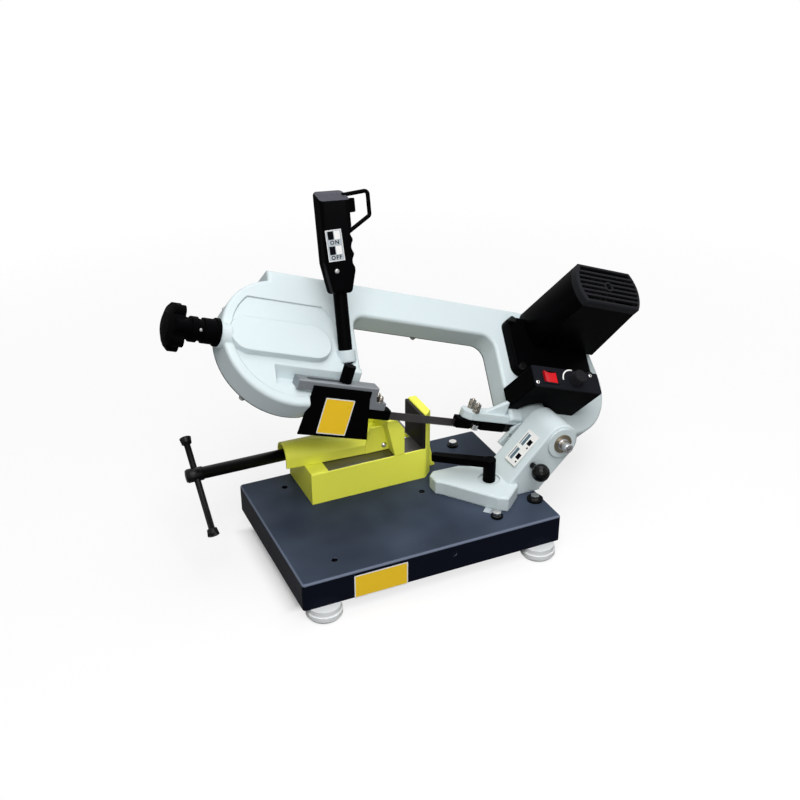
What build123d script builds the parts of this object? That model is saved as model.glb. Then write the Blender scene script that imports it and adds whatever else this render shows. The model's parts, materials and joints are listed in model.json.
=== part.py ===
"""Bench band saw for metal: base and vise, mitre swivel, and a tilted bow that carries the blade.

Millimetres. The base frame has X along the front edge of the base, Y to the back and Z up from the
floor under the middle of the base. The bow has a frame of its own: x along the blade, m across the
bow in its plane (from the blade towards the beam) and n out of its front face. The cut frame is the
same frame turned about the blade, so that its y runs across the vise and its z is the cut height.
The finished nodes stand with the middle of the whole machine's outer box over the origin.
"""
import os
from math import acos, atan2, cos, degrees, hypot, pi, radians, sin, sqrt, tan

from build123d import *

# Running and seating clearances
RUN = 0.05
SLIDE = 0.3
FREE = 0.5

# Base tray and feet
BASE_L, BASE_W, BASE_H = 400.0, 276.0, 43.0
BASE_SHEET = 3.0
BASE_EDGE_R = 5.0
BASE_LIP = 48.0
FOOT_H, FOOT_R, FOOT_NECK_R = 19.0, 25.5, 23.5
FOOT_INSET_X, FOOT_INSET_Y = 32.0, 8.0
FOOT_SCREW_R, FOOT_HEAD_R, FOOT_HEAD_H = 4.0, 6.5, 5.0
FOOT_SCREW_GRIP = 6.0
BENCH_HOLE_R, BENCH_HOLE_X, BENCH_HOLE_INSET = 4.5, -140.0, 36.5
CENTRE_HOLE = (43.0, 4.5)
FRONT_HOLE_R, FRONT_HOLE_X, FRONT_HOLE_Z = 3.0, 27.0, 45.0
BASE_TOP = FOOT_H + BASE_H
MACHINE_X, MACHINE_Y = 66.1, 19.9

# Vise
VISE_X0, VISE_X1 = -119.0, 65.0
VISE_Y0, VISE_BACK = 38.0, 2.0
VISE_H, VISE_WALL, VISE_DECK = 52.0, 6.0, 8.0
BED_STEP, BED_STEP_X = 0.6, -92.0
BED_SLOT_X0, BED_SLOT_X1, BED_SLOT_W = -58.0, 58.0, 14.0
CROSS_FOOT_W, CROSS_FOOT_H = 22.0, 10.0
VISE_BOLT_R, VISE_BOLT_HEAD_R, VISE_BOLT_HEAD_H = 3.0, 5.5, 4.0
WALL_T, WALL_Y0, WALL_H, WALL_BEVEL = 14.0, 39.5, 109.0, 12.0
GUSSET_L, GUSSET_H, GUSSET_T = 16.0, 66.0, 8.0
JAW_PLATE_T = 5.0
JAW_Y0, JAW_BACK = 37.0, 14.0
JAW_X = 29.6
JAW_FOOT_T, JAW_TOP_T, JAW_LEAN = 15.6, 15.0, 12.0
JAW_H, JAW_CHAMFER_W, JAW_CHAMFER_H = 60.0, 12.0, 17.5
SCREW_ABOVE_BED = 14.6
SCREW_R, SCREW_END_R, SCREW_X0 = 7.0, 5.0, -290.0
SCREW_HEAD_R, SCREW_HEAD_L = 8.0, 24.0
THRUST_X0, THRUST_L, THRUST_W, THRUST_H = -14.0, 26.0, 32.0, 27.0
HOOD_X0, HOOD_X1, HOOD_T = -146.0, -14.0, 3.0
HOOD_R, HOOD_END_HALF, HOOD_END_SIDE, HOOD_END_TOP = 19.5, 27.5, 15.0, 29.5
HOOD_CUT_X, HOOD_CUT_FALL = -116.0, 9.0
CHEEK_X0, CHEEK_LEAN, CHEEK_H = -24.0, 9.0, 42.0
NUT_X0, NUT_L, NUT_W, NUT_H, NUT_CHAMFER = -104.0, 24.0, 24.0, 26.0, 7.0
BAR_L, BAR_R, BAR_CAP_R, BAR_CAP_L, BAR_ANGLE = 136.0, 3.5, 6.5, 9.0, 38.0
BAR_INSET, BAR_SLID = 14.0, 18.0

# Swivel arm on the base
SWIVEL_X, SWIVEL_Y = 80.0, 0.0
SWIVEL_RANGE = 45.0
PLATE_T = 22.0
PIVOT_BOLT_R, PIVOT_BOLT_HEAD_R, PIVOT_BOLT_HEAD_H = 8.0, 13.0, 8.0
ARM_Y0, ARM_Y1 = -64.0, 0.0
ARM_SLOPE = 45.0
ARM_END_R = 28.0
BOSS_RING_R, BOSS_RING_H = 23.5, 3.0
LOCK_X, LOCK_Y = 135.0, -36.0
LOCK_STUD_R, LOCK_RECESS_R, LOCK_RECESS_D = 5.0, 16.0, 3.0
LOCK_NUT_R, LOCK_NUT_H, LOCK_WASHER_T = 9.0, 8.0, 2.0
LEVER_HUB_R, LEVER_HUB_H = 9.5, 37.0
LEVER_L, LEVER_W, LEVER_END_W, LEVER_T, LEVER_ANGLE = 82.0, 15.0, 11.0, 11.0, 144.0
STOP_R, STOP_HEAD_R, STOP_HEAD_H = 4.0, 6.5, 5.5
STOP_DISC_R, STOP_DISC_H = 12.0, 3.0
STOPS = ((113.0, -102.0, 9.0), (186.0, -86.0, STOP_DISC_R), (147.0, 106.0, 9.0))
BALL_X, BALL_Z = 192.0, 108.0
BALL_ROD_R, BALL_ROD_OUT, BALL_ROD_IN, BALL_R = 4.5, 16.0, 30.0, 13.5

# Bow pivot
PIVOT_X, PIVOT_Z = 240.0, 135.0
PIVOT_R, PIVOT_STUB_R, PIVOT_STUB_L, PIVOT_SOCKET_R = 9.0, 7.5, 15.0, 4.0
BUSH_R, BUSH_L, BUSH_FLANGE_R, BUSH_FLANGE_T = 12.0, 24.0, 14.5, 2.0
HUB_GAP, HUB_R, HUB_Y1 = 2.0, 24.0, 36.0

# Bow frame
REST_ANGLE = 18.76
BOW_TILT = 52.5
BLADE_Y = 28.0
BLADE_DROP = 25.4

# Blade and wheels
BLADE_LOOP, BLADE_W, BLADE_T = 1470.0, 13.0, 0.65
TOOTH_PITCH, TOOTH_H = 3.0, 1.4
WHEEL_R = 87.0
IDLER_X = -404.0
WHEEL_RIM_T, WHEEL_FLANGE_H, WHEEL_FLANGE_T, WHEEL_WEB_T = 12.0, 1.6, 1.5, 5.0
WHEEL_HUB_R = 18.0
WHEEL_HOLES, WHEEL_HOLE_R = 5, 15.0
AXLE_R, BEARING_R, BEARING_L = 8.0, 13.0, 6.0

# Bow casting
HOUSING_ROOM = 14.0
BEAM_IN, BEAM_OUT = 26.0, 29.0
BEAM_X0 = -426.0
N_REAR, N_FACE = -9.0, 28.0
BOW_WALL = 5.0
BOW_EDGE_R = 5.0
COLUMN_STEP = 7.0
COLUMN_LOW_M = 50.0
THROAT_R = 22.0
GEAR_LOBE_X, GEAR_LOBE_R = 88.0, 62.0
RIM_W, RIM_STEP = 14.0, 2.0
BULGE_HALF, BULGE_X0, BULGE_X1, BULGE_H = 29.0, -498.0, -341.0, 7.0
COVER_T = 1.2
COVER_SCREW_R, COVER_KNOB_R, COVER_KNOB_H = 1.5, 4.5, 4.0
SEAT_X0, SEAT_V, SEAT_W, SEAT_WALL = -431.0, 22.0, 31.0, 5.5
LEDGE_X0, LEDGE_W0, LEDGE_N0 = -375.0, 14.0, 9.5
GUARD_ROOM_X0, GUARD_ROOM_WALL = -385.0, 2.0
WHEEL_ROOM, WHEEL_ROOM_N = 2.0, 9.5

# Blade tension
TENSION_N = 24.5
SLIDE_HALF, SLIDE_L, SLIDE_N0, SLIDE_N1 = 17.0, 60.0, 18.5, 30.5
TENSION_TRAVEL = 4.0
TENSION_PITCH = 2.0
TENSION_SCREW_R = 5.0
TENSION_BOSS_R, TENSION_BOSS_L = 20.0, 6.0
SLEEVE_FLANGE_R, SLEEVE_FLANGE_L = 19.5, 5.0
SLEEVE_R, SLEEVE_NECK_R, SLEEVE_L = 17.5, 15.0, 43.0
KNOB_R, KNOB_LOBES, KNOB_LOBE_R, KNOB_L, KNOB_DOME = 33.5, 7, 9.0, 33.0, 12.0

# Motor and reduction
MOTOR_X, MOTOR_M = 72.0, 163.0
MOTOR_R, MOTOR_FLAT, MOTOR_FLARE = 61.0, 34.0, 16.0
FLANGE_N, FLANGE_T, FLANGE_WALL = 28.0, 16.0, 6.0
FLANGE_X0, FLANGE_X1, FLANGE_M0, FLANGE_M1, FLANGE_R = -24.0, 128.0, 78.0, 180.0, 16.0
FLANGE_BOLT_R, FLANGE_BOLT_HEAD_R, FLANGE_BOLT_HEAD_H = 3.0, 5.5, 6.0
MOTOR_L, FAN_COVER_L, MOTOR_WALL = 126.0, 14.0, 4.0
GRILLE_BARS, GRILLE_BAR_W, GRILLE_T, GRILLE_RIM = 7, 3.2, 4.0, 5.0
GRILLE_RING_R, GRILLE_RING_W = 8.0, 2.5
ROTOR_R, ROTOR_SHAFT_R, ROTOR_N0, ROTOR_N1 = 24.0, 6.0, 72.0, 134.0
FAN_R, FAN_T, FAN_BLADES, FAN_BLADE_T = 29.0, 10.0, 9, 2.5
GEAR_RATIO = 6
GEAR_N0, GEAR_T, GEAR_BACKLASH = 11.0, 8.0, 0.3
DRIVE_BEARING_R, DRIVE_BEARING_L = 15.0, 7.0

# Control box
BOX_X0, BOX_X1, BOX_M0, BOX_M1, BOX_N1 = -47.0, 79.0, 19.0, 54.0, 102.0
BOX_EDGE_R, BOX_WALL = 2.0, 3.0
PANEL_T = 2.0
ROCKER_X, ROCKER_L, ROCKER_W, ROCKER_H, ROCKER_RIM = -17.0, 26.0, 18.0, 6.0, 2.0
ROCKER_TILT, ROCKER_PIN_R = 7.0, 1.5
DIAL_X, DIAL_R, DIAL_H, DIAL_SHAFT_R, DIAL_GAP = 31.0, 11.5, 16.0, 3.0, 0.6

# Blade guides, in the cut frame
GUIDE_V0, GUIDE_V1 = -10.0, 7.0
GUIDE_SLOT = 1.25
GUIDE_W0, GUIDE_W1 = -4.0, 12.0
RIGHT_REACH = (88.0, 65.0, 45.0, 3.0)
BRIDGE_LAP = 3.0
ROLLER_R, ROLLER_L = 6.0, 8.0
ARM_V0, ARM_V1, ARM_T, ARM_REACH = -12.0, 12.0, 12.0, 80.0
RIGHT_BOLT_REACH, RIGHT_BOLT_V, RIGHT_BOLT_R, RIGHT_BOLT_UP = 62.5, (8.0, -8.0), 2.5, 15.0
RIGHT_NUT_R, RIGHT_NUT_H = 5.5, 5.0
BAR_X0, BAR_X1, BAR_V0, BAR_V1, BAR_H = -405.0, -262.0, -12.0, 8.0, 14.0
BAR_FOOT_L, BAR_FOOT_H, BAR_LEG_L = 28.0, 11.0, 10.0
LEFT_BLOCK_X0, LEFT_BLOCK_X1 = -283.0, -249.0
GUIDE_TRAVEL = 55.0
LEFT_BOLT_X, LEFT_BOLT_V = -270.5, (-7.2, 3.2)
LEFT_BOLT_R, LEFT_NUT_R, LEFT_NUT_H = 2.5, 4.6, 10.0
GUARD_T = 2.0
GUARD_OUTLINE = ((-382.0, 28.0), (-291.0, 28.0), (-276.0, -35.0), (-386.0, -36.0))
CLAMP_X, CLAMP_V, CLAMP_R, CLAMP_H, CLAMP_LOBES, CLAMP_SCREW_R = -331.0, -2.0, 9.0, 25.0, 8, 3.5
CLAMP_DEPTH = 12.0

# Handle, from its root on the front face of the left housing
HANDLE_X, HANDLE_M = -317.6, 81.3
HANDLE_LEAN, HANDLE_TILT = 20.0, 3.4
TUBE_R, TUBE_T, TUBE_OUT, TUBE_IN = 10.0, 2.0, 84.0, 12.0
SOCKET_R, SOCKET_H = 14.0, 3.0
GRIP_L, GRIP_W, GRIP_D, GRIP_TAIL_W = 145.0, 44.0, 34.0, 28.0
GRIP_TAIL_L, GRIP_OVERLAP, GRIP_EDGE_R = 30.0, 34.0, 6.0
FINGER_R, FINGER_PITCH, FINGER_COUNT, FINGER_DEPTH = 11.0, 20.0, 3, 4.5
TRIGGER_Z, TRIGGER_W, TRIGGER_H, TRIGGER_OUT, TRIGGER_IN = 122.0, 12.0, 20.0, 11.0, 10.0
TRIGGER_TRAVEL = 5.0
GUARD_ROD_R, GUARD_REACH, GUARD_LOW = 3.0, 34.0, 82.0


def block(x0, x1, y0, y1, z0, z1):
    """Box between two corners."""
    return Pos((x0 + x1) / 2, (y0 + y1) / 2, (z0 + z1) / 2) * Box(x1 - x0, y1 - y0, z1 - z0)


def rod(start, axis, radius, length):
    """Cylinder that starts at a point and runs along an axis."""
    body = Cylinder(radius, length, align=(Align.CENTER, Align.CENTER, Align.MIN))
    return Plane(origin=start, z_dir=axis) * body


def ring(start, axis, outer, inner, length):
    """Tube with a bore, from a point along an axis."""
    return rod(start, axis, outer, length) - rod(start, axis, inner, length)


def prism(points, z0, z1):
    """Polygon in XY raised from z0 to z1."""
    face = make_face(Polyline(*points, close=True))
    return Pos(0, 0, z0) * extrude(face, amount=z1 - z0)


def prism_xz(points, y0, y1):
    """Polygon in XZ carried from y0 to y1."""
    face = make_face(Polyline(*points, close=True))
    plane = Plane(origin=(0, y1, 0), x_dir=(1, 0, 0), z_dir=(0, -1, 0))
    return plane * extrude(face, amount=y1 - y0)


def plate(sketch, n0, n1):
    """Sketch in XY raised from n0 to n1."""
    return Pos(0, 0, n0) * extrude(sketch, amount=n1 - n0)


def hex_head(start, axis, across_r, height):
    """Hexagon head from a point along an axis."""
    return Plane(origin=start, z_dir=axis) * extrude(RegularPolygon(across_r, 6), amount=height)


# Frames of the bow
ANGLE = radians(REST_ANGLE)
ALONG = Vector(cos(ANGLE), 0, -sin(ANGLE))
UP = Vector(sin(ANGLE), 0, cos(ANGLE))
TILT = radians(BOW_TILT)
ACROSS = Vector(0, sin(TILT), 0) + UP * cos(TILT)
OUT = Vector(0, -cos(TILT), 0) + UP * sin(TILT)
BOW_ORIGIN = Vector(PIVOT_X, BLADE_Y, PIVOT_Z) - UP * BLADE_DROP
BOW = Plane(origin=BOW_ORIGIN, x_dir=ALONG, z_dir=OUT)
CUT = Rot(BOW_TILT - 90, 0, 0)

# Places worked out from the sizes above
FOOT_X, FOOT_Y = BASE_L / 2 - FOOT_INSET_X, BASE_W / 2 - FOOT_INSET_Y
BENCH_HOLE_Y = BASE_W / 2 - BENCH_HOLE_INSET
VISE_Y1 = BASE_W / 2 - VISE_BACK
SCREW_Y = (VISE_Y0 + VISE_Y1) / 2
JAW_Y1 = SCREW_Y + JAW_BACK
WALL_Y1 = JAW_Y1
BED_Z = BASE_TOP + VISE_H
SCREW_Z = BED_Z + SCREW_ABOVE_BED - BED_STEP
PLATE_TOP = BASE_TOP + PLATE_T
DRIVE_X = IDLER_X + (BLADE_LOOP - 2 * pi * WHEEL_R) / 2
HOUSING_R = WHEEL_R + HOUSING_ROOM
COLUMN_L = IDLER_X + HOUSING_R + COLUMN_STEP
COLUMN_R = DRIVE_X - HOUSING_R
RIGHT_X0, RIGHT_X1, RIGHT_X2, RIGHT_X3 = (COLUMN_R - reach for reach in RIGHT_REACH)
ARM_TIP = COLUMN_R - ARM_REACH
RIGHT_BOLT_X = COLUMN_R - RIGHT_BOLT_REACH
WHEEL_RUN_R = WHEEL_R - BLADE_T / 2 - SLIDE
GEAR_CENTRES = hypot(MOTOR_X - DRIVE_X, MOTOR_M - WHEEL_R)
PINION_R = GEAR_CENTRES / (GEAR_RATIO + 1)
GEAR_R = GEAR_CENTRES - PINION_R
MOTOR_N0 = FLANGE_N + FLANGE_T
MOTOR_N1 = MOTOR_N0 + MOTOR_L
LOCK_RADIUS = hypot(LOCK_X - SWIVEL_X, LOCK_Y - SWIVEL_Y)
LOCK_START = degrees(atan2(LOCK_Y - SWIVEL_Y, LOCK_X - SWIVEL_X))
WHEEL_N1 = BLADE_W / 2 + RUN
WHEEL_N0 = WHEEL_N1 - WHEEL_RIM_T
BEAM_RUN_M = 2 * WHEEL_R
BEAM_M0, BEAM_M1 = BEAM_RUN_M - BEAM_IN, BEAM_RUN_M + BEAM_OUT
GEAR_LOBE_M = BEAM_M1 - GEAR_LOBE_R


def base_tray():
    """Folded sheet tray with turned-in lips, bench holes and the arc slot of the swivel lock."""
    body = block(-BASE_L / 2, BASE_L / 2, -BASE_W / 2, BASE_W / 2, FOOT_H, BASE_TOP)
    body = fillet(body.edges().filter_by(Axis.Z), BASE_EDGE_R)
    body = fillet(body.faces().sort_by(Axis.Z)[-1].edges(), BASE_EDGE_R - 1)
    inner_x = BASE_L / 2 - BASE_SHEET
    inner_y = BASE_W / 2 - BASE_SHEET
    body -= block(-inner_x, inner_x, -inner_y, inner_y, FOOT_H + BASE_SHEET, BASE_TOP - BASE_SHEET)
    lip_y = BASE_W / 2 - BASE_LIP
    body -= block(-inner_x, inner_x, -lip_y, lip_y, FOOT_H, FOOT_H + BASE_SHEET)
    through = BASE_TOP - BASE_SHEET
    for x, y, radius in top_holes():
        body -= rod((x, y, through), (0, 0, 1), radius, BASE_SHEET)
    for x, y in foot_places():
        body -= rod((x, y, FOOT_H), (0, 0, 1), FOOT_SCREW_R, BASE_SHEET)
    body -= rod((FRONT_HOLE_X, -BASE_W / 2, FRONT_HOLE_Z), (0, 1, 0), FRONT_HOLE_R, BASE_SHEET)
    slot = SlotArc(
        CenterArc((SWIVEL_X, SWIVEL_Y), LOCK_RADIUS, LOCK_START, SWIVEL_RANGE), 2 * (LOCK_STUD_R + FREE)
    )
    return body - plate(slot, through, BASE_TOP)


def top_holes():
    """Holes in the top sheet: place and radius."""
    holes = [(BENCH_HOLE_X, side * BENCH_HOLE_Y, BENCH_HOLE_R) for side in (-1, 1)]
    holes.append((*CENTRE_HOLE, BENCH_HOLE_R))
    holes.append((SWIVEL_X, SWIVEL_Y, PIVOT_BOLT_R))
    holes += [(x, y, STOP_R) for x, y, _ in STOPS]
    holes += [(x, y, VISE_BOLT_R) for x, y in vise_bolt_places()]
    return holes


def foot_places():
    """Centres of the four feet."""
    return [(x * FOOT_X, y * FOOT_Y) for x in (-1, 1) for y in (-1, 1)]


def rubber_feet():
    """Four stepped feet with a counterbore for their screws."""
    outline = Polyline(
        (0, 0), (FOOT_R - 3, 0), (FOOT_R, 4), (FOOT_R, FOOT_H * 0.55), (FOOT_R - 2, FOOT_H * 0.62),
        (FOOT_NECK_R, FOOT_H * 0.7), (FOOT_NECK_R, FOOT_H), (0, FOOT_H), close=True,
    )
    foot = revolve(Plane.XZ * make_face(outline), Axis.Z)
    foot -= Cylinder(FOOT_SCREW_R, FOOT_H, align=(Align.CENTER, Align.CENTER, Align.MIN))
    bore = FOOT_HEAD_H + 3
    foot -= Cylinder(FOOT_HEAD_R + 1, bore, align=(Align.CENTER, Align.CENTER, Align.MIN))
    return Compound([Pos(x, y, 0) * foot for x, y in foot_places()])


def foot_screws():
    """Screws that hold the feet to the lips of the tray."""
    top = FOOT_H + BASE_SHEET + FOOT_SCREW_GRIP
    head_top = FOOT_HEAD_H + 3
    screw = rod((0, 0, head_top), (0, 0, 1), FOOT_SCREW_R, top - head_top)
    screw += rod((0, 0, head_top), (0, 0, -1), FOOT_HEAD_R, FOOT_HEAD_H)
    return Compound([Pos(x, y, 0) * screw for x, y in foot_places()])


def vise_bolt_places():
    """Bolts through the tray into the cross feet of the vise bed."""
    inset = VISE_WALL + 12
    return [
        (x, y)
        for x in (VISE_X0 + CROSS_FOOT_W, VISE_X1 - CROSS_FOOT_W)
        for y in (VISE_Y0 + inset, VISE_Y1 - inset)
    ]


def vise_bed():
    """Channel with a machined bed, a guide slot and two cross feet."""
    body = block(VISE_X0, VISE_X1, VISE_Y0, VISE_Y1, BASE_TOP, BED_Z)
    body = fillet(body.edges().filter_by(Axis.X).group_by(Axis.Z)[-1], 3)
    body -= block(
        VISE_X0, VISE_X1, VISE_Y0 + VISE_WALL, VISE_Y1 - VISE_WALL, BASE_TOP, BED_Z - VISE_DECK
    )
    for x in (VISE_X0 + CROSS_FOOT_W, VISE_X1 - CROSS_FOOT_W):
        half = CROSS_FOOT_W / 2
        body += block(
            x - half, x + half, VISE_Y0 + VISE_WALL, VISE_Y1 - VISE_WALL, BASE_TOP, BASE_TOP + CROSS_FOOT_H
        )
    body -= block(BED_STEP_X, VISE_X1, VISE_Y0, VISE_Y1, BED_Z - BED_STEP, BED_Z)
    half = BED_SLOT_W / 2
    body -= block(
        BED_SLOT_X0, BED_SLOT_X1, SCREW_Y - half, SCREW_Y + half, BED_Z - VISE_DECK, BED_Z
    )
    for x, y in vise_bolt_places():
        body -= rod((x, y, BASE_TOP), (0, 0, 1), VISE_BOLT_R, CROSS_FOOT_H)
    return body


def vise_bolts():
    """Bolts that hold the vise bed down, heads under the top sheet."""
    under = BASE_TOP - BASE_SHEET
    bolt = rod((0, 0, under), (0, 0, 1), VISE_BOLT_R, BASE_SHEET + CROSS_FOOT_H)
    bolt += hex_head((0, 0, under), (0, 0, -1), VISE_BOLT_HEAD_R, VISE_BOLT_HEAD_H)
    return Compound([Pos(x, y, 0) * bolt for x, y in vise_bolt_places()])


def fixed_jaw():
    """Upright wall at the end of the bed, bevelled for the mitre cut, with a gusset behind it."""
    x1 = VISE_X1 + WALL_T
    outline = (
        (VISE_X1, WALL_Y0), (x1 - WALL_BEVEL, WALL_Y0), (x1, WALL_Y0 + WALL_BEVEL), (x1, WALL_Y1),
        (VISE_X1, WALL_Y1),
    )
    body = prism(outline, BASE_TOP, BASE_TOP + WALL_H)
    body = chamfer(body.edges().filter_by(Axis.Y).group_by(Axis.Z)[-1], 1.5)
    gusset_y = (WALL_Y0 + WALL_Y1) / 2
    points = ((x1, BASE_TOP), (x1 + GUSSET_L, BASE_TOP), (x1, BASE_TOP + GUSSET_H))
    return body + prism_xz(points, gusset_y - GUSSET_T / 2, gusset_y + GUSSET_T / 2)


def fixed_jaw_plate():
    """Steel face of the fixed jaw."""
    z0 = BED_Z - BED_STEP
    body = block(VISE_X1 - JAW_PLATE_T, VISE_X1, VISE_Y0, WALL_Y1, z0, BASE_TOP + WALL_H - 2)
    return chamfer(body.edges().filter_by(Axis.Y).group_by(Axis.Z)[-1], 1)


def vise_nut():
    """Nut block on the bed, under the hood of the moving jaw."""
    z0 = BED_Z - BED_STEP
    half = NUT_W / 2
    body = block(NUT_X0, NUT_X0 + NUT_L, SCREW_Y - half, SCREW_Y + half, BED_Z, z0 + NUT_H)
    body += block(BED_STEP_X, NUT_X0 + NUT_L, SCREW_Y - half, SCREW_Y + half, z0, BED_Z)
    body = chamfer(body.edges().filter_by(Axis.X).group_by(Axis.Z)[-1], NUT_CHAMFER)
    return body - rod((NUT_X0, SCREW_Y, SCREW_Z), (1, 0, 0), SCREW_R + RUN, NUT_L)


def hood_profile(half, side, top):
    """Arch section of the hood: straight sides, then an arc over the screw."""
    low = BED_Z + SLIDE
    points = Polyline((-half, low + side), (-half, low), (half, low), (half, low + side))
    arch = ThreePointArc((half, low + side), (0, low + top), (-half, low + side))
    return make_face(points + arch)


def hood_shell(shrink):
    """Hood from its round end to its wide end at the jaw, drawn in by a wall thickness."""
    side = SCREW_Z - BED_Z - SLIDE
    round_end = Plane(origin=(HOOD_X0, SCREW_Y, 0), x_dir=(0, 1, 0), z_dir=(1, 0, 0))
    wide_end = Plane(origin=(HOOD_X1, SCREW_Y, 0), x_dir=(0, 1, 0), z_dir=(1, 0, 0))
    first = round_end * hood_profile(HOOD_R - shrink, side, side + HOOD_R - shrink)
    last = wide_end * hood_profile(HOOD_END_HALF - shrink, HOOD_END_SIDE - shrink, HOOD_END_TOP - shrink)
    return loft([first, last])


def moving_jaw():
    """Jaw block, its cheeks and the hood that covers the screw."""
    low = BED_Z - BED_STEP + SLIDE
    x0 = JAW_X - JAW_FOOT_T
    top = low + JAW_H
    outline = (
        (x0, low), (JAW_X, low), (JAW_X, top - JAW_CHAMFER_H), (JAW_X - JAW_CHAMFER_W, top),
        (JAW_X - JAW_CHAMFER_W - JAW_TOP_T, top), (x0 - JAW_LEAN, top - 7),
    )
    body = prism_xz(outline, JAW_Y0, JAW_Y1)
    inset = JAW_PLATE_T - FREE
    body -= block(JAW_X - inset, JAW_X, JAW_Y0 + 5, JAW_Y1, low, top - JAW_CHAMFER_H - 2)
    hood = hood_shell(0) - hood_shell(HOOD_T)
    cut_z = SCREW_Z + HOOD_R
    cut = (
        (HOOD_CUT_X, cut_z), (HOOD_X1 + 1, cut_z - HOOD_CUT_FALL), (HOOD_X1 + 1, cut_z + 30),
        (HOOD_CUT_X, cut_z + 30),
    )
    hood -= prism_xz(cut, SCREW_Y - 60, SCREW_Y + 60)
    body += hood
    cheek_top = BED_Z + CHEEK_H
    cheek = (
        (CHEEK_X0, BED_Z + SLIDE), (x0, BED_Z + SLIDE), (x0, cheek_top),
        (CHEEK_X0 + CHEEK_LEAN, cheek_top), (CHEEK_X0, BED_Z + HOOD_END_SIDE),
    )
    far = JAW_Y1 - HOOD_T
    near = SCREW_Y - HOOD_END_HALF
    body += prism_xz(cheek, near, near + HOOD_T)
    body += prism_xz(cheek, far, JAW_Y1)
    half = THRUST_W / 2
    thrust_top = BED_Z + SLIDE + THRUST_H
    body += block(THRUST_X0, x0 + 2, SCREW_Y - half, SCREW_Y + half, BED_Z + SLIDE, thrust_top)
    tongue = BED_SLOT_W / 2 - SLIDE
    body += block(0, x0 + 10, SCREW_Y - tongue, SCREW_Y + tongue, BED_Z - VISE_DECK + 1, low + 1)
    bore_l = THRUST_L - 4
    return body - rod((THRUST_X0, SCREW_Y, SCREW_Z), (1, 0, 0), SCREW_END_R + RUN, bore_l)


def moving_jaw_plate():
    """Steel face let into the moving jaw, a little proud of it."""
    low = BED_Z - BED_STEP + SLIDE
    inset = JAW_PLATE_T - FREE
    top = low + JAW_H - JAW_CHAMFER_H - 2
    return block(JAW_X - inset, JAW_X + FREE, JAW_Y0 + 5, JAW_Y1, low, top)


def vise_screw():
    """Screw with a cross-drilled head and a plain end in the jaw."""
    length = THRUST_X0 - SCREW_X0
    body = rod((SCREW_X0, SCREW_Y, SCREW_Z), (1, 0, 0), SCREW_R, length)
    head = rod((SCREW_X0, SCREW_Y, SCREW_Z), (1, 0, 0), SCREW_HEAD_R, SCREW_HEAD_L)
    head = chamfer(head.edges().group_by(Axis.X)[0], 2)
    body += head
    body += rod((THRUST_X0, SCREW_Y, SCREW_Z), (1, 0, 0), SCREW_END_R, THRUST_L - 6)
    return body - tommy_rod(BAR_R + RUN)


def tommy_rod(radius):
    """Plain rod through the screw head, across its axis."""
    middle, axis = tommy_place()
    return rod(middle - axis * (BAR_L / 2), axis, radius, BAR_L)


def tommy_place():
    """Middle and direction of the bar, slid down through the screw head."""
    turn = radians(BAR_ANGLE)
    axis = Vector(0, cos(turn), sin(turn))
    return Vector(SCREW_X0 + BAR_INSET, SCREW_Y, SCREW_Z) - axis * BAR_SLID, axis


def tommy_bar():
    """Rod with flared caps at both ends."""
    middle, axis = tommy_place()
    body = tommy_rod(BAR_R)
    for side in (-1, 1):
        way = axis * side
        cap = Cone(BAR_CAP_R - 1, BAR_CAP_R, BAR_CAP_L, align=(Align.CENTER, Align.CENTER, Align.MIN))
        body += Plane(origin=middle + way * (BAR_L / 2 - 1), z_dir=way) * cap
    return body


def swivel_pivot_bolt():
    """Bolt that the swivel arm turns on."""
    under = BASE_TOP - BASE_SHEET
    body = rod((SWIVEL_X, SWIVEL_Y, under), (0, 0, 1), PIVOT_BOLT_R, BASE_SHEET + PLATE_T - 4)
    return body + hex_head((SWIVEL_X, SWIVEL_Y, under), (0, 0, -1), PIVOT_BOLT_HEAD_R, PIVOT_BOLT_HEAD_H)


def stop_bolts():
    """Swivel stops screwed into the base, each on a washer."""
    solids = []
    for x, y, washer in STOPS:
        bolt = rod((x, y, BASE_TOP - BASE_SHEET), (0, 0, 1), STOP_R, BASE_SHEET + STOP_DISC_H)
        bolt += rod((x, y, BASE_TOP), (0, 0, 1), washer, STOP_DISC_H)
        bolt += hex_head((x, y, BASE_TOP + STOP_DISC_H), (0, 0, 1), STOP_HEAD_R, STOP_HEAD_H)
        solids.append(bolt)
    return Compound(solids)


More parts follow.
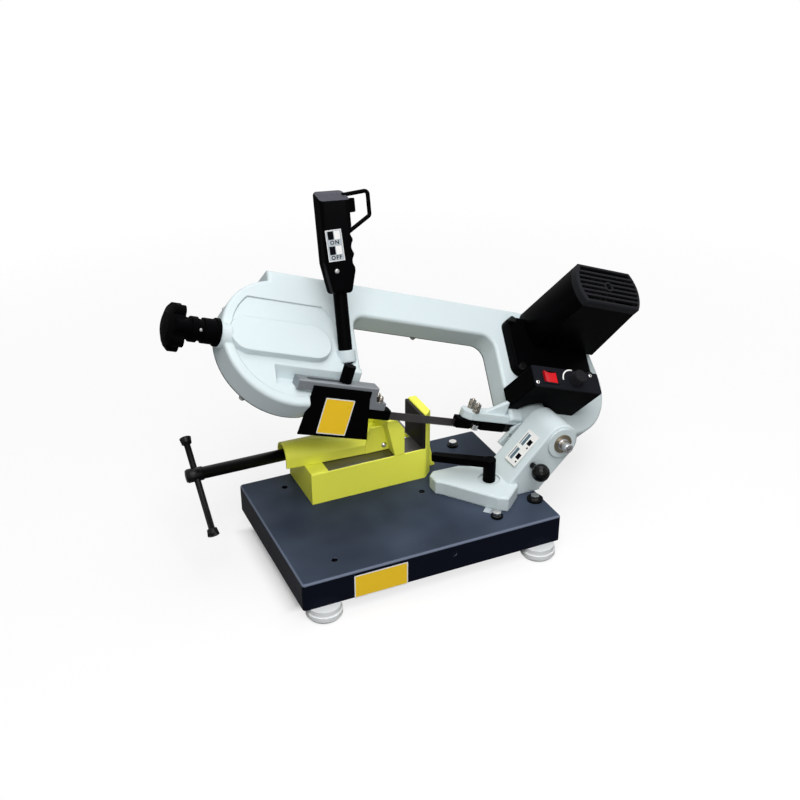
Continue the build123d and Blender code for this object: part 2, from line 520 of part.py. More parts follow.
def swivel_arm():
    """Casting on the base: a flat plate, a toe for the stops and a sloping arm with the pivot boss."""
    left = SWIVEL_X - 21
    slope = radians(ARM_SLOPE)
    reach = ARM_END_R / cos(slope)
    foot_in = PIVOT_X - reach - (PIVOT_Z - PLATE_TOP + SLIDE) / tan(slope)
    foot_out = PIVOT_X + reach - (PIVOT_Z - BASE_TOP) / tan(slope)
    outline = (
        (left, SWIVEL_Y - 9), (left, SWIVEL_Y + 10), (left + 9, SWIVEL_Y + 19),
        (SWIVEL_X + 30, SWIVEL_Y + 17), (foot_in - 6, ARM_Y1), (foot_out, ARM_Y1), (foot_out, ARM_Y0), (foot_in + 19, ARM_Y0),
        (foot_in + 16, ARM_Y0 - 6), (LOCK_X + 10, ARM_Y0 - 24), (LOCK_X - 1, ARM_Y0 - 33),
        (LOCK_X - 14, ARM_Y0 - 24), (left + 9, SWIVEL_Y - 18),
    )
    body = prism(outline, BASE_TOP + SLIDE, PLATE_TOP)
    body = chamfer(body.faces().sort_by(Axis.Z)[-1].edges(), 2)
    run_x, run_z = ARM_END_R * sin(slope), ARM_END_R * cos(slope)
    arm = (
        (foot_in, PLATE_TOP - 4), (PIVOT_X - run_x, PIVOT_Z + run_z), (PIVOT_X + run_x, PIVOT_Z - run_z),
        (foot_out, BASE_TOP + SLIDE), (foot_in, BASE_TOP + SLIDE),
    )
    sloping = prism_xz(arm, ARM_Y0, ARM_Y1)
    sloping += rod((PIVOT_X, ARM_Y0, PIVOT_Z), (0, 1, 0), ARM_END_R, ARM_Y1 - ARM_Y0)
    sloping = fillet(sloping.faces().sort_by(Axis.Y)[0].edges(), 3)
    body += sloping
    body += rod((PIVOT_X, ARM_Y0, PIVOT_Z), (0, -1, 0), BOSS_RING_R, BOSS_RING_H)
    boss_front = ARM_Y0 - BOSS_RING_H
    body -= rod((PIVOT_X, boss_front, PIVOT_Z), (0, 1, 0), PIVOT_R + 1, ARM_Y1 - boss_front)
    for start in (ARM_Y0 - BOSS_RING_H, ARM_Y1 - BUSH_L):
        body -= rod((PIVOT_X, start, PIVOT_Z), (0, 1, 0), BUSH_R, BUSH_L)
    body -= rod((SWIVEL_X, SWIVEL_Y, BASE_TOP), (0, 0, 1), PIVOT_BOLT_R + RUN, PLATE_T - 3)
    body -= rod((LOCK_X, LOCK_Y, PLATE_TOP - LOCK_RECESS_D), (0, 0, 1), LOCK_RECESS_R, LOCK_RECESS_D + 40)
    body -= rod((LOCK_X, LOCK_Y, BASE_TOP), (0, 0, 1), LOCK_STUD_R, PLATE_T)
    return body - rod((BALL_X, ARM_Y0, BALL_Z), (0, 1, 0), BALL_ROD_R + RUN, BALL_ROD_IN)


def lock_stud():
    """Stud of the swivel lock, with its nut and washer under the top sheet."""
    under = BASE_TOP - BASE_SHEET
    floor = under - SLIDE - LOCK_WASHER_T - LOCK_NUT_H
    top = PLATE_TOP + LEVER_HUB_H - LOCK_RECESS_D - 6
    body = rod((LOCK_X, LOCK_Y, floor), (0, 0, 1), LOCK_STUD_R, top - floor)
    body += hex_head((LOCK_X, LOCK_Y, floor), (0, 0, 1), LOCK_NUT_R, LOCK_NUT_H)
    washer_r = LOCK_NUT_R + 3
    return body + rod((LOCK_X, LOCK_Y, floor + LOCK_NUT_H), (0, 0, 1), washer_r, LOCK_WASHER_T)


def lock_lever():
    """Hub nut and tapered lever of the swivel lock."""
    z0 = PLATE_TOP - LOCK_RECESS_D + SLIDE
    z1 = z0 + LEVER_HUB_H
    hub = rod((0, 0, z0), (0, 0, 1), LEVER_HUB_R, LEVER_HUB_H)
    hub = fillet(hub.edges().group_by(Axis.Z)[-1], 2)
    points = ((0, -LEVER_W / 2), (LEVER_L, -LEVER_END_W / 2), (LEVER_L, LEVER_END_W / 2), (0, LEVER_W / 2))
    lever = prism(points, z1 - LEVER_T - 1, z1 - 1)
    lever += rod((LEVER_L, 0, z1 - LEVER_T - 1), (0, 0, 1), LEVER_END_W / 2, LEVER_T)
    body = hub + lever
    body -= rod((0, 0, z0), (0, 0, 1), LOCK_STUD_R + RUN, LEVER_HUB_H - 4)
    return Pos(LOCK_X, LOCK_Y, 0) * Rot(0, 0, LEVER_ANGLE) * body


def ball_screw():
    """Threaded rod of the bow lock."""
    start = (BALL_X, ARM_Y0 + BALL_ROD_IN - 1, BALL_Z)
    return rod(start, (0, -1, 0), BALL_ROD_R, BALL_ROD_IN - 1 + BALL_ROD_OUT)


def ball_knob():
    """Ball on the rod of the bow lock."""
    centre_y = ARM_Y0 - BALL_ROD_OUT - BALL_R + 6
    body = Pos(BALL_X, centre_y, BALL_Z) * Sphere(BALL_R)
    back = centre_y + BALL_R
    body -= block(BALL_X - BALL_R, BALL_X + BALL_R, back - 2, back, BALL_Z - BALL_R, BALL_Z + BALL_R)
    return body - rod((BALL_X, ARM_Y0, BALL_Z), (0, -1, 0), BALL_ROD_R, BALL_ROD_OUT)


def pivot_bushes():
    """Two flanged bushes in the pivot boss."""
    front = ARM_Y0 - BOSS_RING_H
    first = ring((PIVOT_X, front, PIVOT_Z), (0, 1, 0), BUSH_R, PIVOT_R + RUN, BUSH_L)
    first += ring((PIVOT_X, front, PIVOT_Z), (0, -1, 0), BUSH_FLANGE_R, PIVOT_R + RUN, BUSH_FLANGE_T)
    second = ring((PIVOT_X, ARM_Y1 - BUSH_L, PIVOT_Z), (0, 1, 0), BUSH_R, PIVOT_R + RUN, BUSH_L)
    return Compound([first, second])


def pivot_shaft():
    """Shaft fixed in the bow hub, with a socketed stub in front of the boss."""
    front = ARM_Y0 - BOSS_RING_H - BUSH_FLANGE_T - 1
    body = rod((PIVOT_X, front, PIVOT_Z), (0, 1, 0), PIVOT_R, HUB_Y1 - 3 - front)
    stub = rod((PIVOT_X, front, PIVOT_Z), (0, -1, 0), PIVOT_STUB_R, PIVOT_STUB_L)
    stub = chamfer(stub.edges().group_by(Axis.Y)[0], 1)
    body += stub
    return body - rod((PIVOT_X, front - PIVOT_STUB_L, PIVOT_Z), (0, 1, 0), PIVOT_SOCKET_R, 8)


def bow_outline():
    """Outline of the bow in its plane: two wheel housings, the beam and the columns of the throat."""
    diagonal = sqrt(0.5)
    notch = (BEAM_X0, WHEEL_R + sqrt(HOUSING_R**2 - (BEAM_X0 - IDLER_X) ** 2))
    low_left = (IDLER_X + sqrt(HOUSING_R**2 - (WHEEL_R - COLUMN_LOW_M) ** 2), COLUMN_LOW_M)
    low_right = (DRIVE_X - sqrt(HOUSING_R**2 - WHEEL_R**2), 0)
    leave, join = lobe_tangent()
    corner_m = BEAM_M0 - THROAT_R
    left_corner, right_corner = COLUMN_L + THROAT_R, COLUMN_R - THROAT_R
    bend, lobe_bend = THROAT_R * diagonal, GEAR_LOBE_R * diagonal
    edges = [
        Polyline((GEAR_LOBE_X, BEAM_M1), (BEAM_X0, BEAM_M1), notch),
        ThreePointArc(notch, (IDLER_X - HOUSING_R * diagonal, WHEEL_R - HOUSING_R * diagonal), low_left),
        Polyline(low_left, (COLUMN_L, COLUMN_LOW_M), (COLUMN_L, corner_m)),
        ThreePointArc((COLUMN_L, corner_m), (left_corner - bend, corner_m + bend), (left_corner, BEAM_M0)),
        Line((left_corner, BEAM_M0), (right_corner, BEAM_M0)),
        ThreePointArc((right_corner, BEAM_M0), (right_corner + bend, corner_m + bend), (COLUMN_R, corner_m)),
        Polyline((COLUMN_R, corner_m), (COLUMN_R, 0), low_right),
        ThreePointArc(low_right, (DRIVE_X, WHEEL_R - HOUSING_R), leave),
        Line(leave, join),
        ThreePointArc(join, (GEAR_LOBE_X + lobe_bend, GEAR_LOBE_M + lobe_bend), (GEAR_LOBE_X, BEAM_M1)),
    ]
    return make_face(Curve() + edges)


def lobe_tangent():
    """Ends of the straight edge between the right housing and the lobe over the gears."""
    step_x, step_m = GEAR_LOBE_X - DRIVE_X, GEAR_LOBE_M - WHEEL_R
    turn = atan2(step_m, step_x) - acos((HOUSING_R - GEAR_LOBE_R) / hypot(step_x, step_m))
    leave = (DRIVE_X + HOUSING_R * cos(turn), WHEEL_R + HOUSING_R * sin(turn))
    return leave, (GEAR_LOBE_X + GEAR_LOBE_R * cos(turn), GEAR_LOBE_M + GEAR_LOBE_R * sin(turn))


def rectangle(x0, x1, y0, y1):
    """Rectangle between two corners."""
    return Pos((x0 + x1) / 2, (y0 + y1) / 2) * Rectangle(x1 - x0, y1 - y0)


def seat_box(v1, w0):
    """Space of the guide bar in front of the left housing, down to a seat."""
    return CUT * block(SEAT_X0, COLUMN_L + 20, -90, v1, w0, 90)


def bow_casting():
    """Open-backed casting with both wheel housings, the beam, the guide arm and the pivot hub."""
    outline = bow_outline()
    solid = plate(outline, N_REAR, N_FACE)
    solid = fillet(solid.faces().sort_by(Axis.Z)[-1].edges(), BOW_EDGE_R)
    inside = offset(outline, amount=-BOW_WALL)
    body = solid - plate(inside, N_REAR, N_FACE - BOW_WALL)
    front_half = block(SEAT_X0 - 6, COLUMN_L, -60, 120, LEDGE_N0, N_FACE)
    body += solid & seat_box(SEAT_V + SEAT_WALL, LEDGE_W0) & front_half
    guard_v = BAR_V0 + FREE
    ledge_x1 = BAR_X1 - BAR_FOOT_L - 1
    ledge = CUT * block(LEDGE_X0, ledge_x1, guard_v, SEAT_V + SEAT_WALL, LEDGE_W0, 62)
    body += ledge & front_half
    body -= seat_box(SEAT_V, SEAT_W)
    guard_room = CUT * block(GUARD_ROOM_X0, COLUMN_L + 20, -90, guard_v, -60, SEAT_W)
    guard_wall = CUT * block(GUARD_ROOM_X0, LEDGE_X0 + 30, guard_v, guard_v + GUARD_ROOM_WALL, -60, SEAT_W)
    body = body - guard_room + (solid & guard_wall)
    body -= CUT * rod((CLAMP_X, CLAMP_V, LEDGE_W0), (0, 0, 1), CLAMP_SCREW_R + RUN, SEAT_W - LEDGE_W0)
    face_r = HOUSING_R - RIM_W
    sunk = Pos(IDLER_X, WHEEL_R) * Circle(face_r)
    sunk = sunk & rectangle(IDLER_X - face_r, COLUMN_L - RIM_W, 0, BEAM_M0 + 4)
    body -= plate(sunk, N_FACE - RIM_STEP, N_FACE)
    bulge = Pos((BULGE_X0 + BULGE_X1) / 2, WHEEL_R) * SlotOverall(BULGE_X1 - BULGE_X0, 2 * BULGE_HALF)
    raised = extrude(Pos(0, 0, N_FACE - BOW_WALL) * bulge, amount=BULGE_H + BOW_WALL, taper=10)
    body += raised
    boss_x = IDLER_X - HOUSING_R - TENSION_BOSS_L
    body += rod((boss_x, WHEEL_R, TENSION_N - 6), (1, 0, 0), TENSION_BOSS_R - 2, TENSION_BOSS_L + 12)
    run = SLIDE_HALF + SLIDE
    slide_x0 = IDLER_X - SLIDE_L / 2 - 2
    slide_x1 = IDLER_X + SLIDE_L / 2 + TENSION_TRAVEL + 2
    body -= block(slide_x0, slide_x1, WHEEL_R - run, WHEEL_R + run, 0, SLIDE_N1 + SLIDE)
    body -= rod((boss_x, WHEEL_R, TENSION_N), (1, 0, 0), TENSION_SCREW_R + FREE, slide_x0 - boss_x + 1)
    body += right_guide_arm()
    body += pivot_hub()
    body -= wheel_room(DRIVE_X)
    body -= rod((DRIVE_X, WHEEL_R, N_REAR), (0, 0, 1), GEAR_R + WHEEL_ROOM, GEAR_N0 + GEAR_T + 1 - N_REAR)
    shaft_from = ARM_Y1 + HUB_GAP - BLADE_Y
    body -= CUT * rod((0, shaft_from, BLADE_DROP), (0, 1, 0), PIVOT_R, HUB_Y1 - BLADE_Y - shaft_from)
    body -= CUT * block(COLUMN_R - 20, DRIVE_X, -9, 9, -14, 9.5)
    body -= block(COLUMN_R - 20, DRIVE_X - 40, -9, 9, N_REAR, 10)
    body -= block(IDLER_X + 20, COLUMN_L + 20, -8, 8, N_REAR, 9)
    body -= rod((DRIVE_X, WHEEL_R, N_FACE - BOW_WALL - 1), (0, 0, 1), DRIVE_BEARING_R, BOW_WALL + 1)
    body -= rod((MOTOR_X, MOTOR_M, N_FACE - BOW_WALL - 1), (0, 0, 1), PINION_R + 3, BOW_WALL + 1)
    axis, root = handle_axis()
    body += rod(root - axis * SOCKET_R, axis, SOCKET_R, SOCKET_H + SOCKET_R) & front_of_face()
    body -= rod(root - axis * 2 * TUBE_IN, axis, TUBE_R, 2 * TUBE_IN + SOCKET_H + 2 * TUBE_R)
    return body


def wheel_room(x):
    """Space that a band wheel turns in."""
    radius = WHEEL_R + WHEEL_FLANGE_H + WHEEL_ROOM
    return rod((x, WHEEL_R, N_REAR), (0, 0, 1), radius, WHEEL_ROOM_N - N_REAR)


def front_of_face():
    """Half space in front of the face plate of the left housing."""
    return block(IDLER_X - HOUSING_R, COLUMN_L, 0, BEAM_M1, N_FACE - BOW_WALL, N_FACE + 60)


def right_guide_arm():
    """Arm cast on the right column, with a rib, over the right blade guide."""
    outline = (
        (ARM_TIP, ARM_V0 + 8), (ARM_TIP + 10, ARM_V0), (COLUMN_R + 14, ARM_V0), (COLUMN_R + 14, ARM_V1),
        (ARM_TIP + 5, ARM_V1), (ARM_TIP, ARM_V1 - 5),
    )
    arm = prism(outline, GUIDE_W1, GUIDE_W1 + ARM_T)
    rib_top = GUIDE_W1 + ARM_T
    rib_x1 = BOX_X0 - 1
    rib = ((ARM_TIP + 40, rib_top), (rib_x1, rib_top), (rib_x1, rib_top + 20))
    arm += prism_xz(rib, -4, 4)
    for v in RIGHT_BOLT_V:
        arm -= rod((RIGHT_BOLT_X, v, GUIDE_W1), (0, 0, 1), RIGHT_BOLT_R, ARM_T)
    return CUT * arm


def pivot_hub():
    """Hub of the bow on the pivot shaft, with the lug beside it."""
    near = ARM_Y1 + HUB_GAP - BLADE_Y
    far = HUB_Y1 - BLADE_Y
    hub = rod((0, near, BLADE_DROP), (0, 1, 0), HUB_R, far - near)
    lug = ((-50, -20), (-40, -25), (-16, -22), (10, 6), (-10, 30), (-36, 6))
    lug_y = near + 10
    hub += prism_xz(lug, lug_y, lug_y + 6)
    hub -= rod((-37, lug_y, -6), (0, 1, 0), 3.5, 6)
    return CUT * hub


def wheel_cover():
    """Sheet cover on the back of the bow."""
    sketch = bow_outline()
    sketch -= rectangle(IDLER_X + 20, COLUMN_L + 20, -30, 8)
    sketch -= rectangle(COLUMN_R - 20, DRIVE_X - 40, -30, 9)
    for x, m in cover_places():
        sketch -= Pos(x, m) * Circle(COVER_SCREW_R)
    return plate(sketch, N_REAR - COVER_T, N_REAR)


def cover_places():
    """Screws of the wheel cover, on the wall of the casting."""
    middle = BOW_WALL / 2
    left_r, right_r = HOUSING_R - middle, GEAR_LOBE_R - middle
    return (
        (IDLER_X - left_r * cos(radians(40)), WHEEL_R + left_r * sin(radians(40))),
        (IDLER_X - left_r * cos(radians(50)), WHEEL_R - left_r * sin(radians(50))),
        (GEAR_LOBE_X + right_r * cos(radians(20)), GEAR_LOBE_M + right_r * sin(radians(20))),
        ((COLUMN_L + COLUMN_R) / 2, BEAM_M0 + middle),
    )


def cover_knobs():
    """Knurled screws of the wheel cover."""
    solids = []
    for x, m in cover_places():
        start = (x, m, N_REAR - COVER_T)
        screw = rod(start, (0, 0, -1), COVER_KNOB_R, COVER_KNOB_H)
        screw = chamfer(screw.edges().group_by(Axis.Z)[0], 1)
        screw += rod(start, (0, 0, 1), COVER_SCREW_R, COVER_T)
        solids.append(screw)
    return Compound(solids)


def blade_section(x, turn):
    """Cross-section of the blade at a place along it, turned about its length."""
    plane = Plane(origin=(x, 0, 0), x_dir=(0, 0, 1), z_dir=(1, 0, 0))
    return plane * Rot(0, 0, -turn) * Rectangle(BLADE_W, BLADE_T)


def twist(x0, x1, turn0, turn1, steps=5):
    """Stretch of the blade that turns about its length."""
    sections = []
    for i in range(steps + 1):
        share = i / steps
        sections.append(blade_section(x0 + (x1 - x0) * share, turn0 + (turn1 - turn0) * share))
    return loft(sections, ruled=True)


def blade():
    """Endless blade: round both wheels, flat along the beam, turned upright between the guides."""
    half = BLADE_W / 2
    full = 90 - BOW_TILT
    inner = WHEEL_R - BLADE_T / 2
    outer = WHEEL_R + BLADE_T / 2
    left = ring((IDLER_X, WHEEL_R, -half), (0, 0, 1), outer, inner, BLADE_W)
    left &= block(IDLER_X - outer - 1, IDLER_X, -20, 2 * WHEEL_R + 20, -half, half)
    right = ring((DRIVE_X, WHEEL_R, -half), (0, 0, 1), outer, inner, BLADE_W)
    right &= block(DRIVE_X, DRIVE_X + outer + 1, -20, 2 * WHEEL_R + 20, -half, half)
    top = block(IDLER_X, DRIVE_X, BEAM_RUN_M - BLADE_T / 2, BEAM_RUN_M + BLADE_T / 2, -half, half)
    first = LEDGE_X0 + 16
    last = RIGHT_X3 + 2
    lead_in = block(IDLER_X, first, -BLADE_T / 2, BLADE_T / 2, -half, half)
    lead_out = block(DRIVE_X - 14, DRIVE_X, -BLADE_T / 2, BLADE_T / 2, -half, half)
    body = left + top + right + lead_in + lead_out
    body += twist(first, LEFT_BLOCK_X0 - 2, 0, full)
    body += twist(last, DRIVE_X - 14, full, 0)
    return body + cutting_run(LEFT_BLOCK_X0 - 2, last)


def cutting_run(x0, x1):
    """Upright stretch between the guides, with raked teeth along its lower edge."""
    low = -BLADE_W / 2
    count = int((RIGHT_X0 - LEFT_BLOCK_X1) / TOOTH_PITCH)
    points = [(x0, low), (x0, -low), (x1, -low), (x1, low)]
    for i in range(count):
        tip = RIGHT_X0 - i * TOOTH_PITCH
        points.append((tip, low))
        points.append((tip - TOOTH_PITCH * 0.25, low + TOOTH_H))
    points.append((RIGHT_X0 - count * TOOTH_PITCH, low))
    return CUT * prism_xz(points, -BLADE_T / 2, BLADE_T / 2)


def band_wheel(bore):
    """Wheel with a flange behind the blade, a thin web with round holes and a hub."""
    rim_in = WHEEL_RUN_R - 11
    body = ring((0, 0, WHEEL_N0), (0, 0, 1), WHEEL_RUN_R, rim_in, WHEEL_RIM_T)
    body += ring((0, 0, WHEEL_N1), (0, 0, 1), WHEEL_R + WHEEL_FLANGE_H, rim_in, WHEEL_FLANGE_T)
    web = rod((0, 0, -WHEEL_WEB_T / 2), (0, 0, 1), rim_in, WHEEL_WEB_T)
    spread = (rim_in + WHEEL_HUB_R) / 2
    for i in range(WHEEL_HOLES):
        turn = 2 * pi * i / WHEEL_HOLES
        place = (spread * cos(turn), spread * sin(turn), -WHEEL_WEB_T / 2)
        web -= rod(place, (0, 0, 1), WHEEL_HOLE_R, WHEEL_WEB_T)
    body += web
    body += rod((0, 0, WHEEL_N0 - 1), (0, 0, 1), WHEEL_HUB_R, WHEEL_RIM_T + 3)
    return body - rod((0, 0, WHEEL_N0 - 1), (0, 0, 1), bore, WHEEL_RIM_T + 3)


def idler_wheel():
    """Left wheel, on its bearings."""
    return Pos(IDLER_X, WHEEL_R, 0) * band_wheel(BEARING_R)


def idler_bearings():
    """Two bearings pressed into the idler wheel."""
    first = WHEEL_N0 - 1
    second = WHEEL_N0 + WHEEL_RIM_T + 2 - BEARING_L
    solids = [
        ring((IDLER_X, WHEEL_R, n), (0, 0, 1), BEARING_R, AXLE_R + RUN, BEARING_L) for n in (first, second)
    ]
    return Compound(solids)


def tension_slide():
    """Sliding block with the idler's axle, tapped for the tension screw."""
    x0, x1 = IDLER_X - SLIDE_L / 2, IDLER_X + SLIDE_L / 2
    body = block(x0, x1, WHEEL_R - SLIDE_HALF, WHEEL_R + SLIDE_HALF, SLIDE_N0, SLIDE_N1)
    collar_n = WHEEL_N0 + WHEEL_RIM_T + 2 + SLIDE
    body += rod((IDLER_X, WHEEL_R, collar_n), (0, 0, 1), AXLE_R + 3, SLIDE_N0 - collar_n)
    axle_n = WHEEL_N0 - 2
    body += rod((IDLER_X, WHEEL_R, axle_n), (0, 0, 1), AXLE_R, SLIDE_N0 - axle_n)
    return body - rod((x0, WHEEL_R, TENSION_N), (1, 0, 0), TENSION_SCREW_R + RUN, SLIDE_L / 2)


def tension_screw():
    """Screw between the knob and the sliding block."""
    x0 = sleeve_end() - KNOB_L / 2
    x1 = IDLER_X - SLIDE_L / 2 + TENSION_TRAVEL + 8
    return rod((x0, WHEEL_R, TENSION_N), (1, 0, 0), TENSION_SCREW_R, x1 - x0)


def sleeve_end():
    """Place where the tension sleeve meets its knob."""
    return IDLER_X - HOUSING_R - TENSION_BOSS_L - SLEEVE_L


def tension_sleeve():
    """Flanged sleeve around the tension screw, with a groove."""
    x1 = IDLER_X - HOUSING_R - TENSION_BOSS_L
    start = (x1, WHEEL_R, TENSION_N)
    body = rod(start, (-1, 0, 0), SLEEVE_NECK_R, SLEEVE_L)
    body += rod(start, (-1, 0, 0), SLEEVE_FLANGE_R, SLEEVE_FLANGE_L)
    body += rod(start, (-1, 0, 0), SLEEVE_R, SLEEVE_L * 0.52)
    body += rod((sleeve_end() + 12, WHEEL_R, TENSION_N), (-1, 0, 0), SLEEVE_R, 9)
    return body - rod(start, (-1, 0, 0), TENSION_SCREW_R + FREE, SLEEVE_L)


def lobed(radius, lobes, lobe_r, length):
    """Knob blank with rounded lobes around it."""
    body = Circle(radius - lobe_r * 0.75)
    for i in range(lobes):
        turn = 2 * pi * i / lobes
        body += Pos((radius - lobe_r) * cos(turn), (radius - lobe_r) * sin(turn)) * Circle(lobe_r)
    return extrude(body, amount=length)


def tension_knob():
    """Lobed, domed knob on the tension screw."""
    crown = Polyline(
        (0, 0), (KNOB_R + 1, 0), (KNOB_R + 1, KNOB_L - KNOB_DOME), (KNOB_R - 5, KNOB_L - KNOB_DOME / 2),
        (KNOB_R - 16, KNOB_L - 1.5), (0, KNOB_L), close=True,
    )
    dome = revolve(Plane.XZ * make_face(crown), Axis.Z)
    collar = Cylinder(SLEEVE_NECK_R, 10, align=(Align.CENTER, Align.CENTER, Align.MIN))
    body = (Pos(0, 0, 10) * lobed(KNOB_R, KNOB_LOBES, KNOB_LOBE_R, KNOB_L) & dome) + collar
    body -= Cylinder(TENSION_SCREW_R, KNOB_L / 2, align=(Align.CENTER, Align.CENTER, Align.MIN))
    place = Plane(origin=(sleeve_end() - SLIDE, WHEEL_R, TENSION_N), z_dir=(-1, 0, 0))
    return place * body


def drive_wheel():
    """Right wheel, fixed on the drive shaft."""
    return Pos(DRIVE_X, WHEEL_R, 0) * band_wheel(AXLE_R)


def drive_shaft():
    """Shaft of the drive wheel and its gear."""
    n0 = WHEEL_N0 - 2
    n1 = FLANGE_N + FLANGE_T - 4
    return rod((DRIVE_X, WHEEL_R, n0), (0, 0, 1), AXLE_R, n1 - n0)


def drive_gear():
    """Large gear on the drive shaft."""
    body = rod((DRIVE_X, WHEEL_R, GEAR_N0), (0, 0, 1), GEAR_R - GEAR_BACKLASH, GEAR_T)
    return body - rod((DRIVE_X, WHEEL_R, GEAR_N0), (0, 0, 1), AXLE_R, GEAR_T)


def drive_bearings():
    """Bearings of the drive shaft, in the casting and in the gear cover."""
    n0 = N_FACE - BOW_WALL
    n1 = FLANGE_N + FLANGE_T - 2
    return ring((DRIVE_X, WHEEL_R, n0), (0, 0, 1), DRIVE_BEARING_R, AXLE_R + RUN, n1 - n0)


def gear_cover():
    """Flanged cover between the casting and the motor."""
    middle = ((FLANGE_X0 + FLANGE_X1) / 2, (FLANGE_M0 + FLANGE_M1) / 2)
    sketch = Pos(*middle) * RectangleRounded(FLANGE_X1 - FLANGE_X0, FLANGE_M1 - FLANGE_M0, FLANGE_R)
    body = plate(sketch, FLANGE_N, FLANGE_N + FLANGE_T)
    body = fillet(body.faces().sort_by(Axis.Z)[-1].edges(), 3)
    body += plate(motor_section(0, 0), FLANGE_N, FLANGE_N + FLANGE_T)
    depth = FLANGE_T - 2
    inner_l, inner_w = FLANGE_X1 - FLANGE_X0 - 2 * FLANGE_WALL, FLANGE_M1 - FLANGE_M0 - 2 * FLANGE_WALL
    hollow = Pos(*middle) * RectangleRounded(inner_l, inner_w, FLANGE_R - FLANGE_WALL)
    hollow -= Pos(DRIVE_X, WHEEL_R) * Circle(DRIVE_BEARING_R + FLANGE_WALL)
    hollow -= Pos(MOTOR_X, MOTOR_M) * Circle(ROTOR_SHAFT_R + FLANGE_WALL)
    for x, m in flange_places():
        hollow -= Pos(x, m) * Circle(FLANGE_BOLT_HEAD_R + 2)
    body -= plate(hollow, FLANGE_N, FLANGE_N + FLANGE_T - FLANGE_WALL)
    body -= rod((DRIVE_X, WHEEL_R, FLANGE_N), (0, 0, 1), DRIVE_BEARING_R, depth)
    for x, m in flange_places():
        body -= rod((x, m, FLANGE_N), (0, 0, 1), FLANGE_BOLT_R, FLANGE_T)
    return body - rod((MOTOR_X, MOTOR_M, FLANGE_N), (0, 0, 1), ROTOR_SHAFT_R + RUN, FLANGE_T)


def flange_places():
    """Bolts at the corners of the gear cover."""
    inset = 9.0
    left, right = FLANGE_X0 + inset, FLANGE_X1 - inset
    low, high = FLANGE_M0 + inset, FLANGE_M1 - inset
    return [(left, low), (left, high), (right, low)]


def gear_cover_bolts():
    """Socket screws of the gear cover."""
    solids = []
    top = FLANGE_N + FLANGE_T
    for x, m in flange_places():
        bolt = rod((x, m, FLANGE_N), (0, 0, 1), FLANGE_BOLT_R, FLANGE_T)
        bolt += rod((x, m, top), (0, 0, 1), FLANGE_BOLT_HEAD_R, FLANGE_BOLT_HEAD_H)
        solids.append(bolt)
    return Compound(solids)


def motor_section(shrink, flare):
    """Round section with two flats, widened on its outer side."""
    flat, radius = MOTOR_FLAT - shrink, MOTOR_R - shrink
    half = sqrt(radius**2 - flat**2)
    edges = [
        Line((-half, flat), (half + flare, flat)),
        ThreePointArc((half + flare, flat), (radius + flare, 0), (half + flare, -flat)),
        Line((half + flare, -flat), (-half, -flat)),
        ThreePointArc((-half, -flat), (-radius, 0), (-half, flat)),
    ]
    return Pos(MOTOR_X, MOTOR_M) * make_face(Curve() + edges)


def motor_barrel(shrink, n0):
    """Barrel of the motor, wider at the gear cover than at its fan."""
    low = Pos(0, 0, n0) * motor_section(shrink, MOTOR_FLARE * (MOTOR_N1 - n0) / MOTOR_L)
    high = Pos(0, 0, MOTOR_N1) * motor_section(shrink, 0)
    return loft([low, high], ruled=True)


def motor_housing():
    """Tubular motor body on the gear cover."""
    body = motor_barrel(0, MOTOR_N0) - motor_barrel(MOTOR_WALL, MOTOR_N0 + MOTOR_WALL)
    return body - rod((MOTOR_X, MOTOR_M, MOTOR_N0), (0, 0, 1), ROTOR_SHAFT_R + 2, MOTOR_WALL)


def fan_cover():
    """End cap of the motor with straight bars and a ring in the middle."""
    n1 = MOTOR_N1 + FAN_COVER_L
    body = plate(motor_section(0, 0), MOTOR_N1, n1)
    body = chamfer(body.faces().sort_by(Axis.Z)[-1].edges(), 2)
    body -= plate(motor_section(MOTOR_WALL, 0), MOTOR_N1, n1 - GRILLE_T)
    opening = motor_section(GRILLE_RIM, 0)
    pitch = 2 * (MOTOR_FLAT - GRILLE_RIM) / GRILLE_BARS
    for i in range(1, GRILLE_BARS):
        m = MOTOR_M - MOTOR_FLAT + GRILLE_RIM + i * pitch
        opening -= rectangle(MOTOR_X - MOTOR_R, MOTOR_X + MOTOR_R, m - GRILLE_BAR_W / 2, m + GRILLE_BAR_W / 2)
    middle = Pos(MOTOR_X, MOTOR_M)
    opening -= middle * Circle(GRILLE_RING_R)
    opening += middle * Circle(GRILLE_RING_R - GRILLE_RING_W)
    return body - plate(opening, n1 - GRILLE_T, n1)


def motor_rotor():
    """Armature on its shaft, with the pinion at the gear end."""
    start = (MOTOR_X, MOTOR_M, GEAR_N0)
    body = rod(start, (0, 0, 1), ROTOR_SHAFT_R, MOTOR_N1 - GEAR_N0)
    body += rod(start, (0, 0, 1), PINION_R, GEAR_T)
    return body + rod((MOTOR_X, MOTOR_M, ROTOR_N0), (0, 0, 1), ROTOR_R, ROTOR_N1 - ROTOR_N0)


def cooling_fan():
    """Fan behind the end grille."""
    n0 = MOTOR_N1 - FAN_T - 2
    body = rod((0, 0, n0), (0, 0, 1), FAN_R, 2)
    body += rod((0, 0, n0), (0, 0, 1), ROTOR_SHAFT_R + 4, FAN_T)
    vane = block(ROTOR_SHAFT_R + 2, FAN_R - 1, -FAN_BLADE_T / 2, FAN_BLADE_T / 2, n0 + 1, n0 + FAN_T)
    for i in range(FAN_BLADES):
        body += Rot(0, 0, 360 * i / FAN_BLADES) * vane
    body -= rod((0, 0, n0), (0, 0, 1), ROTOR_SHAFT_R, FAN_T)
    return Pos(MOTOR_X, MOTOR_M, 0) * body


